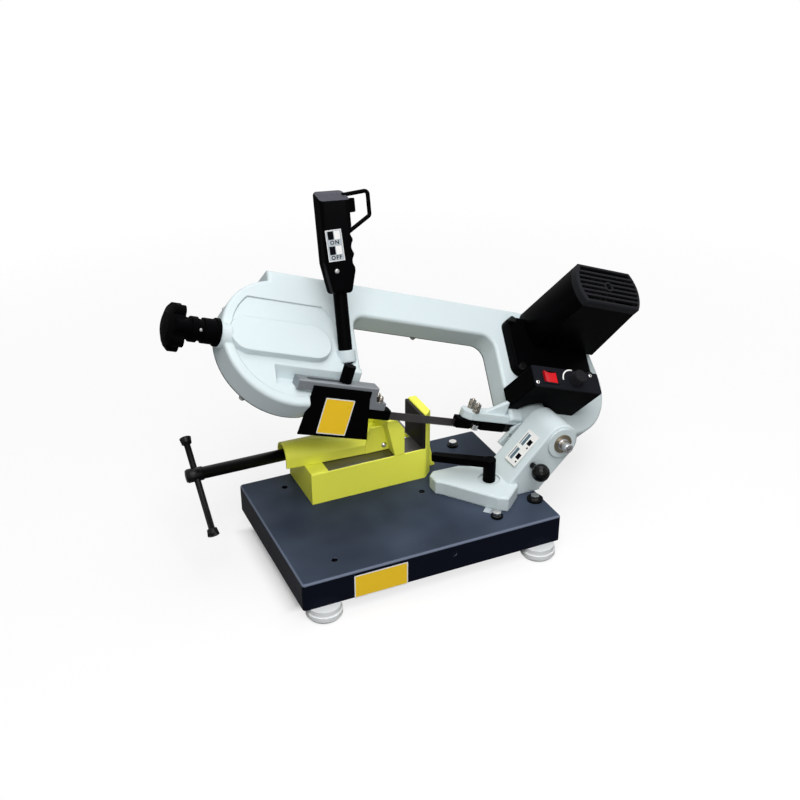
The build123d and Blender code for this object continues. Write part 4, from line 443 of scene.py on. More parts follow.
@dataclass(frozen=True)
class Enamel(Finish):
    """Sprayed paint over metal, worn a little along its edges."""

    peel: float = 700.0
    peel_depth: float = 0.05
    peel_strength: float = 0.35
    tone: float = 0.1
    worn: Colour = srgb(150, 150, 150)
    wear: float = 0.25
    specular: float = 0.3

    def surface(self, tree: TreeBuilder, effects: SurfaceEffects) -> dict[str, Any]:
        """Gives paint colour, gloss, orange peel and edge wear.

        Args:
            tree: Tree of the material.
            effects: Shader node groups to build with.

        Returns:
            Value or source socket for each input of the shader, by name.
        """
        inputs = {"Colour": self.colour, "Tone": self.tone, "Peel": self.peel, "Roughness": self.roughness}
        skin = tree.group(effects.enamel_skin, **inputs)
        edge = self.rounded(tree, effects)
        share = tree.math("MULTIPLY", edge.outputs["Edge"], self.wear)
        colour = tree.blend(share, skin.outputs["Colour"], self.worn)
        return {
            **self.coat(tree, colour, skin.outputs["Roughness"]),
            "Normal": self.relief(tree, edge, skin, self.peel_strength, self.peel_depth),
            "Specular IOR Level": self.specular,
        }

    def coat(self, tree: TreeBuilder, colour: NodeSocket, gloss: NodeSocket) -> dict[str, Any]:
        """Gives the plain paint."""
        return {"Base Color": colour, "Roughness": gloss}


@dataclass(frozen=True)
class PaintedSheenEnamel(Enamel):
    """Paint with a painted sheen, paler and uneven where it lies flat, and a painted highlight along its bends.

    Pairs are heights of the face's normal where a change starts and ends, or as their names say.
    """

    # Painted sheen: the paler colour and its share on faces that look up, thinner where the noise is low.
    dust: Colour = srgb(66, 76, 92)
    film: float = 0.95
    thin: float = 0.45
    cloud_noise: Pair = (7.0, 2.0)
    cloud_range: Pair = (0.35, 0.65)
    flat: Pair = (0.6, 0.95)
    # Painted highlight: colour and share of the pale band along the bends between top and sides.
    crest: Colour = srgb(122, 132, 152)
    rub: float = 0.75
    bend_low: Pair = (0.1, 0.35)
    bend_high: Pair = (0.98, 0.8)

    def coat(self, tree: TreeBuilder, colour: NodeSocket, gloss: NodeSocket) -> dict[str, Any]:
        """Gives the paint with a painted sheen on the faces that look up and a painted highlight on its bends.

        Args:
            tree: Tree of the material.
            colour: Colour of the paint.
            gloss: Roughness of the paint.

        Returns:
            Source socket for each input of the shader, by name.
        """
        # Painted sheen: faces that look up are blended unevenly towards a paler colour, standing in for the
        # reflection of the light above.
        up = tree.part(tree.place("Normal"), "Z")
        cloud = tree.noise(tree.place(), *self.cloud_noise)
        film = tree.span(cloud, *self.cloud_range, self.thin * self.film, self.film)
        sheened = tree.blend(tree.math("MULTIPLY", tree.span(up, *self.flat), film), colour, self.dust)
        # Painted highlight: the rounded bends, found by the height of the normal, are blended towards a pale
        # colour.
        bend = tree.math("MULTIPLY", tree.span(up, *self.bend_low), tree.span(up, *self.bend_high))
        rubbed = tree.blend(tree.math("MULTIPLY", bend, self.rub), sheened, self.crest)
        return {"Base Color": rubbed, "Roughness": gloss}


@dataclass(frozen=True)
class MachinedEnamel(Enamel):
    """Paint with one level bare and ground, such as the bed of a vise."""

    bare: Colour = srgb(128, 126, 122)
    cut: Colour = srgb(92, 90, 88)
    level: float = 0.0
    depth: float = 0.25
    start_x: float = 0.0
    marks: Point = (40.0, 900.0, 40.0)
    marks_noise: Pair = (1.0, 4.0)
    marks_range: Pair = (0.2, 0.8)
    bare_roughness: Pair = (0.34, 0.5)

    def coat(self, tree: TreeBuilder, colour: NodeSocket, gloss: NodeSocket) -> dict[str, Any]:
        """Gives the paint with bare metal at the machined level.

        Args:
            tree: Tree of the material.
            colour: Colour of the paint.
            gloss: Roughness of the paint.

        Returns:
            Source socket for each input of the shader, by name.
        """
        place = tree.place()
        off = tree.math("ABSOLUTE", tree.math("SUBTRACT", tree.part(place, "Z"), self.level * MM))
        flat = tree.math("LESS_THAN", off, self.depth * MM)
        begun = tree.math("GREATER_THAN", tree.part(place, "X"), self.start_x * MM)
        share = tree.math("MULTIPLY", flat, begun)
        drawn = tree.out("ShaderNodeMapping", {"Vector": place, "Scale": self.marks})
        marks = tree.noise(drawn, *self.marks_noise)
        bare_gloss = tree.span(marks, *self.marks_range, *self.bare_roughness)
        bare = tree.blend(marks, self.cut, self.bare)
        return {
            "Base Color": tree.blend(share, colour, bare),
            "Roughness": tree.out("ShaderNodeMix", {0: share, 2: gloss, 3: bare_gloss}, data_type="FLOAT"),
            "Metallic": share,
        }


@dataclass(frozen=True)
class Moulding(Finish):
    """Moulded plastic with a pebbled skin."""

    grain: float = 1500.0
    grain_depth: float = 0.03
    grain_strength: float = 0.3
    specular: float = 0.35
    rubbed: Colour = srgb(60, 60, 62)
    rub: float = 0.2

    def surface(self, tree: TreeBuilder, effects: SurfaceEffects) -> dict[str, Any]:
        """Gives plastic colour, gloss and grain.

        Args:
            tree: Tree of the material.
            effects: Shader node groups to build with.

        Returns:
            Value or source socket for each input of the shader, by name.
        """
        skin = tree.group(effects.moulded_grain, Scale=self.grain, Roughness=self.roughness)
        edge = self.rounded(tree, effects)
        share = tree.math("MULTIPLY", edge.outputs["Edge"], self.rub)
        return {
            "Base Color": tree.blend(share, self.colour, self.rubbed),
            "Roughness": skin.outputs["Roughness"],
            "Normal": self.relief(tree, edge, skin, self.grain_strength, self.grain_depth),
            "Specular IOR Level": self.specular,
        }


@dataclass(frozen=True)
class Metal(Finish):
    """Bare or blackened metal with the marks of how it was made."""

    grain: Grain = Grain.EVEN
    stain: float = 0.3
    metallic: float = 1.0
    mark_depth: float = 0.02
    mark_strength: float = 0.25

    def surface(self, tree: TreeBuilder, effects: SurfaceEffects) -> dict[str, Any]:
        """Gives metal colour, gloss and tool marks.

        Args:
            tree: Tree of the material.
            effects: Shader node groups to build with.

        Returns:
            Value or source socket for each input of the shader, by name.
        """
        inputs = {"Colour": self.colour, "Stain": self.stain, "Roughness": self.roughness}
        skin = tree.group(effects.worked_metal, Streaks=self.grain.value, **inputs)
        edge = self.rounded(tree, effects)
        return {
            "Base Color": self.tint(tree, skin.outputs["Colour"]),
            "Roughness": skin.outputs["Roughness"],
            "Normal": self.relief(tree, edge, skin, self.mark_strength, self.mark_depth),
            "Metallic": self.metallic,
        }

    def tint(self, tree: TreeBuilder, colour: NodeSocket) -> NodeSocket:
        """Gives the colour of the metal as it is."""
        return colour


@dataclass(frozen=True)
class WasheredMetal(Metal):
    """Bright metal above a level and a blackened washer below it."""

    washer: Colour = srgb(12, 12, 14)
    level: float = 0.0

    def tint(self, tree: TreeBuilder, colour: NodeSocket) -> NodeSocket:
        """Gives the colour of the metal, darkened below the level."""
        low = tree.math("LESS_THAN", tree.part(tree.place(), "Z"), self.level * MM)
        return tree.blend(low, colour, self.washer)


@dataclass(frozen=True)
class PlateEnamel(Enamel):
    """Paint of a thin plate or of a sign's ink, without wear."""

    tone: float = 0.06
    wear: float = 0.0


@dataclass(frozen=True)
class Finishes:
    """Every finish on the machine."""

    # Navy tray: its pale edge colour and large edge share paint a highlight along the edges, on top of edge
    # wear.
    navy: PaintedSheenEnamel = PaintedSheenEnamel(
        "navy_enamel", srgb(14, 18, 30), 0.24, 2.0, peel=420.0, worn=srgb(126, 136, 156), wear=0.7,
        specular=0.03,
    )
    lime: Enamel = Enamel("lime_enamel", srgb(253, 255, 92), 0.4, 1.2, tone=0.08, worn=srgb(186, 188, 90))
    lime_bed: MachinedEnamel = MachinedEnamel(
        "lime_bed_enamel", srgb(253, 255, 92), 0.4, 1.2, tone=0.08, worn=srgb(186, 188, 90), level=113.4,
        start_x=-158.1,
    )
    white: Enamel = Enamel(
        "white_casting_enamel", srgb(210, 222, 225), 0.36, 3.0, peel=500.0, peel_depth=0.08,
        worn=srgb(190, 198, 200), specular=0.2,
    )
    black: Enamel = Enamel(
        "black_enamel", srgb(4, 4, 5), 0.34, 1.5, worn=srgb(34, 34, 38), tone=0.2, specular=0.014
    )
    guard_black: Enamel = Enamel(
        "guard_enamel", srgb(4, 4, 5), 0.42, 0.8, worn=srgb(34, 34, 36), tone=0.2, specular=0.015
    )
    plastic: Moulding = Moulding(
        "black_moulding", srgb(4, 4, 5), 0.46, 1.2, specular=0.012, rubbed=srgb(30, 30, 34)
    )
    gloss_plastic: Moulding = Moulding(
        "gloss_black_moulding", srgb(4, 4, 5), 0.16, 1.2, grain_depth=0.01, specular=0.16
    )
    # Painted highlight: grey finish of the grip's sloping top, standing in for the light from above on black
    # plastic.
    grip_head: Moulding = Moulding("grip_head_moulding", srgb(66, 67, 76), 0.5, 1.2, specular=0.1)
    panel_plastic: Moulding = Moulding("panel_moulding", srgb(26, 28, 33), 0.4, 0.8, specular=0.02)
    knob_plastic: Moulding = Moulding("knob_moulding", srgb(34, 34, 37), 0.4, 1.0, specular=0.03)
    grille_plastic: Moulding = Moulding("grille_moulding", srgb(35, 36, 39), 0.5, 0.8, specular=0.03)
    fan_plastic: Moulding = Moulding("fan_moulding", srgb(26, 26, 28), 0.5, 0.8, specular=0.05)
    red: Moulding = Moulding(
        "red_rocker_moulding", srgb(204, 20, 30), 0.22, 0.8, grain_depth=0.01, specular=0.15,
        rubbed=srgb(240, 110, 110),
    )
    foot: Moulding = Moulding(
        "foot_moulding", srgb(230, 233, 234), 0.5, 1.5, grain=900.0, rubbed=srgb(212, 214, 214)
    )
    blackened: Metal = Metal("blackened_steel", srgb(16, 16, 18), 0.36, 0.8, Grain.ALONG_X, metallic=0.75)
    blade: Metal = Metal("blade_steel", srgb(92, 88, 88), 0.4, 0.2, Grain.ALONG_X, stain=0.5)
    jaw_steel: Metal = Metal("jaw_steel", srgb(50, 48, 48), 0.5, 0.6, Grain.ALONG_Y, stain=0.5)
    zinc: Metal = Metal("zinc_plate", srgb(206, 205, 202), 0.2, 0.5, stain=0.15)
    nut_zinc: Metal = Metal("nut_zinc_plate", srgb(150, 144, 136), 0.2, 0.5, stain=0.4)
    dull_zinc: Metal = Metal("dull_zinc_plate", srgb(158, 158, 158), 0.42, 0.5)
    stop_zinc: WasheredMetal = WasheredMetal(
        "stop_bolt_zinc", srgb(214, 213, 210), 0.2, 0.5, stain=0.15, level=65.1
    )
    steel: Metal = Metal("turned_steel", srgb(196, 196, 198), 0.24, 0.6, Grain.ALONG_Y)
    bronze: Metal = Metal("bush_bronze_metal", srgb(142, 132, 114), 0.34, 0.6, Grain.ALONG_Y)
    aluminium: Metal = Metal(
        "drawn_aluminium", srgb(140, 145, 150), 0.4, 0.8, Grain.ALONG_X, stain=0.25, metallic=0.6
    )
    cast_wheel: Metal = Metal("wheel_casting", srgb(170, 170, 172), 0.45, 1.0)
    plate_yellow: PlateEnamel = PlateEnamel("yellow_plate", srgb(250, 206, 36), 0.3, 0.2)
    plate_orange: PlateEnamel = PlateEnamel("orange_plate", srgb(255, 208, 36), 0.3, 0.2)
    plate_white: PlateEnamel = PlateEnamel("white_plate", srgb(240, 240, 238), 0.3, 0.2, tone=0.04)
    plate_silver: PlateEnamel = PlateEnamel("silver_plate", srgb(178, 186, 192), 0.3, 0.2, tone=0.1)
    ink_blue: PlateEnamel = PlateEnamel("blue_ink", srgb(92, 114, 128), 0.4, 0.2, tone=0.05)
    ink_black: PlateEnamel = PlateEnamel("black_ink", srgb(8, 9, 14), 0.4, 0.2, tone=0.05, specular=0.02)


@dataclass(frozen=True)
class Frames:
    """Frames of the machine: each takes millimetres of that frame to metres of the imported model."""

    shift: Pair = (66.1, 19.9)
    pivot_x: float = 240.0
    pivot_z: float = 135.0
    rest_angle: float = 18.76
    bow_tilt: float = 52.5
    blade_y: float = 28.0
    blade_drop: float = 25.4
    handle_root: Point = (-317.6, 81.3, 28.0)
    handle_lean: float = 20.0
    handle_tilt: float = 3.4
    arm_slope: float = 45.0

    @staticmethod
    def axes(origin: Vector, along: Vector, across: Vector, out: Vector) -> Matrix:
        """Makes a frame from its origin and its three directions."""
        turn = Matrix((along, across, out)).transposed().to_4x4()
        return Matrix.Translation(origin) @ turn

    @staticmethod
    def facing(frame: Matrix, at: Point) -> Matrix:
        """Gives the frame of a place on an upright face that looks against y of its frame."""
        return frame @ Matrix.Translation(at) @ Matrix.Rotation(QUARTER, 4, "X")

    def base(self) -> Matrix:
        """Gives the base's frame: x along its front edge, z up from the floor."""
        return Matrix.Scale(MM, 4) @ Matrix.Translation((-self.shift[0], -self.shift[1], 0))

    def bow(self) -> Matrix:
        """Gives the bow's frame: x along the blade, y across the bow, z out of its face.

        Returns:
            The frame.
        """
        angle, tilt = math.radians(self.rest_angle), math.radians(self.bow_tilt)
        up = Vector((math.sin(angle), 0, math.cos(angle)))
        along = Vector((math.cos(angle), 0, -math.sin(angle)))
        across = Vector((0, math.sin(tilt), 0)) + up * math.cos(tilt)
        out = Vector((0, -math.cos(tilt), 0)) + up * math.sin(tilt)
        origin = Vector((self.pivot_x, self.blade_y, self.pivot_z)) - up * self.blade_drop
        return self.base() @ self.axes(origin, along, across, out)

    def cut(self) -> Matrix:
        """Gives the cut's frame: the bow's, turned so that z is the height of the blade."""
        return self.bow() @ Matrix.Rotation(math.radians(self.bow_tilt - 90), 4, "X")

    def handle(self) -> Matrix:
        """Gives the handle's frame: z along the grip, x to the fingers, y away from the operator.

        Returns:
            The frame.
        """
        lean, tilt = math.radians(self.handle_lean), math.radians(self.handle_tilt)
        level = math.cos(tilt)
        axis = Vector((math.sin(tilt), math.sin(lean) * level, math.cos(lean) * level))
        right = Vector((1, 0, 0))
        side = (right - axis * axis.dot(right)).normalized()
        root = self.base().inverted() @ self.bow() @ Vector(self.handle_root)
        return self.base() @ self.axes(root, side, axis.cross(side), axis)

    def arm(self) -> Matrix:
        """Gives the sloping arm's frame: x up the slope, z out of its upper face.

        Returns:
            The frame.
        """
        slope = math.radians(self.arm_slope)
        along = Vector((math.cos(slope), 0, math.sin(slope)))
        out = Vector((-math.sin(slope), 0, math.cos(slope)))
        origin = Vector((self.pivot_x, 0, self.pivot_z))
        return self.base() @ self.axes(origin, along, Vector((0, 1, 0)), out)


@dataclass(frozen=True)
class TreeSizes:
    """Sizes of what a geometry node tree makes. Each field is a named input of the tree."""

    @staticmethod
    def label(name: str) -> str:
        """Gives the name of the input that a field stands for."""
        return name.replace("_", " ").title()

    @classmethod
    def sockets(cls) -> list[Socket]:
        """Gives the sockets that the tree takes its sizes by."""
        kinds = {"float": FLOAT, "int": WHOLE}
        return [Socket(cls.label(item.name), kind=kinds[item.type]) for item in fields(cls)]

    def values(self) -> dict[str, float]:
        """Gives the value of each input by name."""
        return {self.label(name): value for name, value in vars(self).items()}


@dataclass(frozen=True)
class ScrewHead(TreeSizes):
    """Button head with a hexagon socket."""

    head_radius: float
    head_height: float
    socket_radius: float


@dataclass(frozen=True)
class DomeNut(TreeSizes):
    """Domed nut on a washer and a stud."""

    nut_radius: float
    nut_height: float
    dome_radius: float
    washer_radius: float
    stud_radius: float
    stud_depth: float


@dataclass(frozen=True)
class ScaleMarks(TreeSizes):
    """Straight marks along an arc, with angles in radians."""

    count: int
    radius: float
    start: float
    step: float
    mark_length: float
    mark_width: float
    mark_height: float


@dataclass(frozen=True)
class ArcBand(TreeSizes):
    """Flat band bent along an arc, with angles in radians."""

    radius: float
    start: float
    sweep: float
    width: float
    height: float


@dataclass
class GeometryTools:
    """Geometry node trees for what repeats or follows an arc, each built once."""

    hexagon: int = 6
    stud_sides: int = 20
    washer_sides: int = 28
    ball_segments: int = 28
    ball_rings: int = 14
    arc_points: int = 40
    cap_gain: float = 1.06
    dome_squash: float = 1.15
    dome_lift: float = 0.2
    washer_height: float = 1.2
    washer_lift: float = 0.4

    def __post_init__(self) -> None:
        """Builds the tree of each kind of sizes."""
        self.trees: dict[type[TreeSizes], NodeTree] = {
            ScrewHead: self._button_screws(self._start("button_screws", ScrewHead)),
            DomeNut: self._dome_nuts(self._start("dome_nuts", DomeNut)),
            ScaleMarks: self._scale_marks(self._start("scale_marks", ScaleMarks)),
            ArcBand: self._arc_band(self._start("arc_band", ArcBand)),
        }

    @staticmethod
    def _start(name: str, sizes: type[TreeSizes]) -> GroupBuilder:
        """Starts a tree that takes points, sizes and a material and gives a mesh.

        Args:
            name: Name of the tree.
            sizes: Kind of sizes that it takes.

        Returns:
            A builder for the tree.
        """
        ends = Socket("Points", kind=GEOMETRY), Socket("Material", kind=MATERIAL)
        inputs = (ends[0], *sizes.sockets(), ends[1])
        return GroupBuilder(name, GROWING, inputs, (Socket("Mesh", kind=GEOMETRY),))

    @staticmethod
    def _end(group: GroupBuilder, made: NodeSocket) -> NodeTree:
        """Ends a tree with real geometry in its material.

        Args:
            group: Tree to end.
            made: Geometry that it made.

        Returns:
            The tree.
        """
        real = group.out("GeometryNodeRealizeInstances", {0: made})
        inputs = {0: real, "Material": group.given("Material")}
        return group.end(Mesh=group.out("GeometryNodeSetMaterial", inputs))

    def _set_out(self, group: GroupBuilder, piece: NodeSocket) -> NodeTree:
        """Ends a tree with one piece at each point and returns it."""
        inputs = {"Points": group.given("Points"), "Instance": piece}
        return self._end(group, group.out("GeometryNodeInstanceOnPoints", inputs))

    @staticmethod
    def _rod(group: GroupBuilder, sides: int, radius: Any, length: Any, lift: Any) -> NodeSocket:
        """Returns an upright rod whose middle stands at a height."""
        rod = group.out("GeometryNodeMeshCylinder", {"Vertices": sides, "Radius": radius, "Depth": length})
        return group.out("GeometryNodeTransform", {0: rod, "Translation": group.vector(Z=lift)})

    def _ball(self, group: GroupBuilder, radius: Any, squash: Any, lift: Any) -> NodeSocket:
        """Returns a ball, squashed along z, whose middle stands at a height.

        Args:
            group: Tree to build in.
            radius: Radius of the ball.
            squash: Scale along z.
            lift: Height of its middle.

        Returns:
            The ball's mesh.
        """
        steps = {"Segments": self.ball_segments, "Rings": self.ball_rings}
        ball = group.out("GeometryNodeMeshUVSphere", {**steps, "Radius": radius})
        change = {"Translation": group.vector(Z=lift), "Scale": group.vector(X=1.0, Y=1.0, Z=squash)}
        return group.out("GeometryNodeTransform", {0: ball, **change})

    def _button_screws(self, group: GroupBuilder) -> NodeTree:
        """Makes button head screws with a hexagon socket, one at each point.

        Args:
            group: Tree to build in.

        Returns:
            The tree.
        """
        radius, height = group.given("Head Radius"), group.given("Head Height")
        dome = self._ball(group, radius, group.math("DIVIDE", height, radius), 0.0)
        hole = self._rod(group, self.hexagon, group.given("Socket Radius"), height, height)
        pair = {"Mesh 1": dome, "Mesh 2": hole}
        return self._set_out(group, group.out("GeometryNodeMeshBoolean", pair, operation="DIFFERENCE"))

    def _dome_nuts(self, group: GroupBuilder) -> NodeTree:
        """Makes domed nuts on a washer and a stud, one at each point.

        Args:
            group: Tree to build in.

        Returns:
            The tree.
        """
        radius, height = group.given("Nut Radius"), group.given("Nut Height")
        half = group.math("MULTIPLY", height, 0.5)
        prism = self._rod(group, self.hexagon, radius, height, half)
        cap_radius = group.math("MULTIPLY", radius, self.cap_gain)
        cap = self._ball(group, cap_radius, group.math("DIVIDE", height, radius), half)
        nut = group.add("GeometryNodeMeshBoolean", operation="INTERSECT")
        group.gather(nut, "Mesh 2", prism, cap)
        lift = group.math("ADD", height, self.dome_lift)
        dome = self._ball(group, group.given("Dome Radius"), self.dome_squash, lift)
        spread = group.given("Washer Radius")
        washer = self._rod(group, self.washer_sides, spread, self.washer_height, self.washer_lift)
        depth = group.given("Stud Depth")
        middle = group.math("MULTIPLY", depth, -0.5)
        stud = self._rod(group, self.stud_sides, group.given("Stud Radius"), depth, middle)
        whole = group.add("GeometryNodeJoinGeometry")
        group.gather(whole, 0, nut.outputs[0], dome, washer, stud)
        return self._set_out(group, whole.outputs[0])

    def _scale_marks(self, group: GroupBuilder) -> NodeTree:
        """Makes straight marks along an arc, as on an angle scale.

        Args:
            group: Tree to build in.

        Returns:
            The tree.
        """
        line = group.out("GeometryNodeMeshLine", {"Count": group.given("Count")})
        steps = group.math("MULTIPLY", group.out("GeometryNodeInputIndex"), group.given("Step"))
        turn = group.math("ADD", group.given("Start"), steps)
        radius = group.given("Radius")
        sides = [group.math("MULTIPLY", radius, group.math(share, turn)) for share in ("COSINE", "SINE")]
        place = group.vector(X=sides[0], Y=sides[1])
        spread = group.out("GeometryNodeSetPosition", {0: line, "Position": place})
        sizes = [group.given(f"Mark {side}") for side in ("Length", "Width", "Height")]
        mark = group.out("GeometryNodeMeshCube", {"Size": group.vector(X=sizes[0], Y=sizes[1], Z=sizes[2])})
        inputs = {"Points": spread, "Instance": mark, "Rotation": group.vector(Z=turn)}
        return self._end(group, group.out("GeometryNodeInstanceOnPoints", inputs))

    def _arc_band(self, group: GroupBuilder) -> NodeTree:
        """Makes a flat band bent along an arc.

        Args:
            group: Tree to build in.

        Returns:
            The tree.
        """
        angles = {"Start Angle": group.given("Start"), "Sweep Angle": group.given("Sweep")}
        inputs = {"Resolution": self.arc_points, "Radius": group.given("Radius"), **angles}
        arc = group.out("GeometryNodeCurveArc", inputs)
        sides = {"Width": group.given("Width"), "Height": group.given("Height")}
        section = group.out("GeometryNodeCurvePrimitiveQuadrilateral", sides)
        return self._end(group, group.out("GeometryNodeCurveToMesh", {0: arc, 1: section, "Fill Caps": True}))


@dataclass(frozen=True)
class PlateSize:
    """Sizes of a thin plate with round corners and a border."""

    width: float
    height: float
    corner: float
    border: float
    thickness: float


def new_object(name: str, data: Any) -> Object:
    """Makes an object in the scene.

    Args:
        name: Name of the object.
        data: Its mesh, curve, lamp or camera.

    Returns:
        The object.
    """
    made = bpy.data.objects.new(name, data)
    bpy.context.scene.collection.objects.link(made)
    return made


def plain_mesh(holder: Object) -> Mesh:
    """Takes the final mesh of an object and removes the object.

    Args:
        holder: Object with live modifiers or text.

    Returns:
        The mesh as plain data.
    """
    graph = bpy.context.evaluated_depsgraph_get()
    mesh = bpy.data.meshes.new_from_object(holder.evaluated_get(graph), depsgraph=graph)
    holder.modifiers.clear()
    bpy.data.objects.remove(holder)
    return mesh


def rounded_rectangle(width: float, height: float, corner: float, steps: int = 6) -> list[Pair]:
    """Gives the outline of a rectangle with round corners, anticlockwise about the origin.

    Args:
        width: Size along x.
        height: Size along y.
        corner: Radius of the corners.
        steps: Sides of each corner.

    Returns:
        Points of the outline.
    """
    outline = []
    for i, (side_x, side_y) in enumerate(((1, 1), (-1, 1), (-1, -1), (1, -1))):
        for step in range(steps + 1):
            turn = QUARTER * (i + step / steps)
            x = side_x * (width / 2 - corner) + corner * math.cos(turn)
            y = side_y * (height / 2 - corner) + corner * math.sin(turn)
            outline.append((x, y))
    return outline


def joined(meshes: Sequence[Mesh]) -> Mesh:
    """Joins meshes into one, with the materials of each kept.

    Args:
        meshes: Meshes in one frame.

    Returns:
        The joined mesh.
    """
    shape = bmesh.new()
    whole = bpy.data.meshes.new("joined")
    for mesh in meshes:
        first = len(whole.materials)
        for material in mesh.materials:
            whole.materials.append(material)
        start = len(shape.faces)
        shape.from_mesh(mesh)
        shape.faces.ensure_lookup_table()
        for face in shape.faces[start:]:
            face.material_index += first
    shape.to_mesh(whole)
    shape.free()
    return whole


@dataclass
class Workshop:
    """Makes meshes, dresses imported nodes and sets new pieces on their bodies."""

    nodes: Mapping[str, Object]
    sharp_angle: float = 35.0
    inner_corner: float = 0.4
    letter_height: float = 0.05
    letter_weight: float = 0.03
    letter_spacing: float = 1.25
    letter_steps: int = 3

    def __post_init__(self) -> None:
        """Builds what every sub-assembly shares."""
        self.frames = Frames()
        self.finishes = Finishes()
        self.effects = SurfaceEffects()
        self.tools = GeometryTools()

    def dress(self, finish: Finish, *names: str) -> None:
        """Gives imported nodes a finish.

        Args:
            finish: Finish to use.
            *names: Names of the nodes.
        """
        for name in names:
            for slot in self.nodes[name].material_slots:
                slot.material = finish.material(self.effects)

    def place(self, mesh: Mesh, name: str, frame: Matrix, body: Body, slot: Slot) -> Object:
        """Makes a mesh a piece of the machine.

        Args:
            mesh: Mesh in the units of its frame.
            name: Name of the piece.
            frame: Frame that the mesh was made in.
            body: Body that the piece rides on.
            slot: Slot of the record that its finish belongs to; not used.

        Returns:
            The piece, at the origin, riding on its body.
        """
        mesh.transform(frame)
        mesh.shade_smooth()
        mesh.set_sharp_from_angle(angle=math.radians(self.sharp_angle))
        piece = new_object(name, mesh)
        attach(piece, body.value)
        LOG.info("piece %s on %s, %d faces", name, body.value, len(mesh.polygons))
        return piece

    def solid(self, shape: BMesh, name: str, *finishes: Finish) -> Mesh:
        """Turns a shape into a mesh and frees the shape.

        Args:
            shape: Shape to use up.
            name: Name of the mesh.
            *finishes: Finish for each material index of its faces.

        Returns:
            The mesh.
        """
        mesh = bpy.data.meshes.new(name)
        shape.to_mesh(mesh)
        shape.free()
        for finish in finishes:
            mesh.materials.append(finish.material(self.effects))
        return mesh

    def copied(self, name: str) -> BMesh:
        """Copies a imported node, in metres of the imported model, with its doubles merged.

        Args:
            name: Name of the node.

        Returns:
            The copy's shape.
        """
        shape = bmesh.new()
        shape.from_mesh(self.nodes[name].data)
        shape.transform(self.nodes[name].matrix_world)
        bmesh.ops.remove_doubles(shape, verts=shape.verts, dist=MERGE)
        return shape

    def grow(self, sizes: TreeSizes, finish: Finish, points: Sequence[Point] = (ORIGIN,)) -> Mesh:
        """Runs a geometry node tree on points and keeps the result as a plain mesh.

        Args:
            sizes: Sizes for the tree, whose kind names it.
            finish: Finish of the result.
            points: Points in millimetres.

        Returns:
            The mesh, with its material.
        """
        tree = self.tools.trees[type(sizes)]
        seed = bpy.data.meshes.new("seed")
        seed.from_pydata([Vector(point) for point in points], [], [])
        holder = new_object("seed", seed)
        modifier = holder.modifiers.new("grow", "NODES")
        modifier.node_group = tree
        items = tree.interface.items_tree
        sockets = {item.name: item.identifier for item in items if item.in_out == "INPUT"}
        for name, value in sizes.values().items():
            modifier[sockets[name]] = value
        modifier[sockets["Material"]] = finish.material(self.effects)
        return plain_mesh(holder)

    def plate(self, size: PlateSize, rim: Finish, face: Finish) -> Mesh:
        """Makes a thin plate that stands on the XY plane.

        Args:
            size: Sizes of the plate.
            rim: Finish of the border and the sides.
            face: Finish inside the border.

        Returns:
            The mesh in millimetres.
        """
        width, height, corner, border = size.width, size.height, size.corner, size.border
        outside = rounded_rectangle(width, height, corner)
        inner_corner = max(corner - border, corner * self.inner_corner)
        inside = rounded_rectangle(width - 2 * border, height - 2 * border, inner_corner)
        shape = bmesh.new()
        low = [shape.verts.new((x, y, 0)) for x, y in outside]
        top = [shape.verts.new((x, y, size.thickness)) for x, y in outside]
        inner = [shape.verts.new((x, y, size.thickness)) for x, y in inside]
        count = len(low)
        for i in range(count):
            j = (i + 1) % count
            shape.faces.new((low[i], low[j], top[j], top[i]))
            shape.faces.new((top[i], top[j], inner[j], inner[i]))
        shape.faces.new(list(reversed(low)))
        shape.faces.new(inner).material_index = 1
        return self.solid(shape, "plate", rim, face)

    def patch(self, size: PlateSize, ink: Finish, at: Point) -> Mesh:
        """Makes a plain plate of one finish at a place.

        Args:
            size: Sizes of the plate.
            ink: Finish of the whole plate.
            at: Middle of its lower face.

        Returns:
            The mesh in millimetres.
        """
        mesh = self.plate(size, ink, ink)
        mesh.transform(Matrix.Translation(at))
        return mesh

    def lettering(self, words: str, size: float, finish: Finish, at: Point) -> Mesh:
        """Makes plain raised letters in the XY plane.

        Args:
            words: Letters to draw.
            size: Height of the letters.
            finish: Finish of the letters.
            at: Middle of the line of letters.

        Returns:
            The mesh in millimetres.
        """
        curve = bpy.data.curves.new("letters", "FONT")
        curve.body = words
        curve.size = size
        curve.align_x = curve.align_y = "CENTER"
        curve.extrude = self.letter_height
        curve.offset = self.letter_weight * size
        curve.space_character = self.letter_spacing
        curve.resolution_u = self.letter_steps
        mesh = plain_mesh(new_object("letters", curve))
        mesh.transform(Matrix.Translation(at))
        mesh.materials.clear()
        mesh.materials.append(finish.material(self.effects))
        return mesh


@dataclass
class SubAssembly(ABC):
    """One group of pieces that belong together."""

    shop: Workshop

    @abstractmethod
    def build(self) -> None:
        """Dresses the group's nodes and makes its new pieces."""


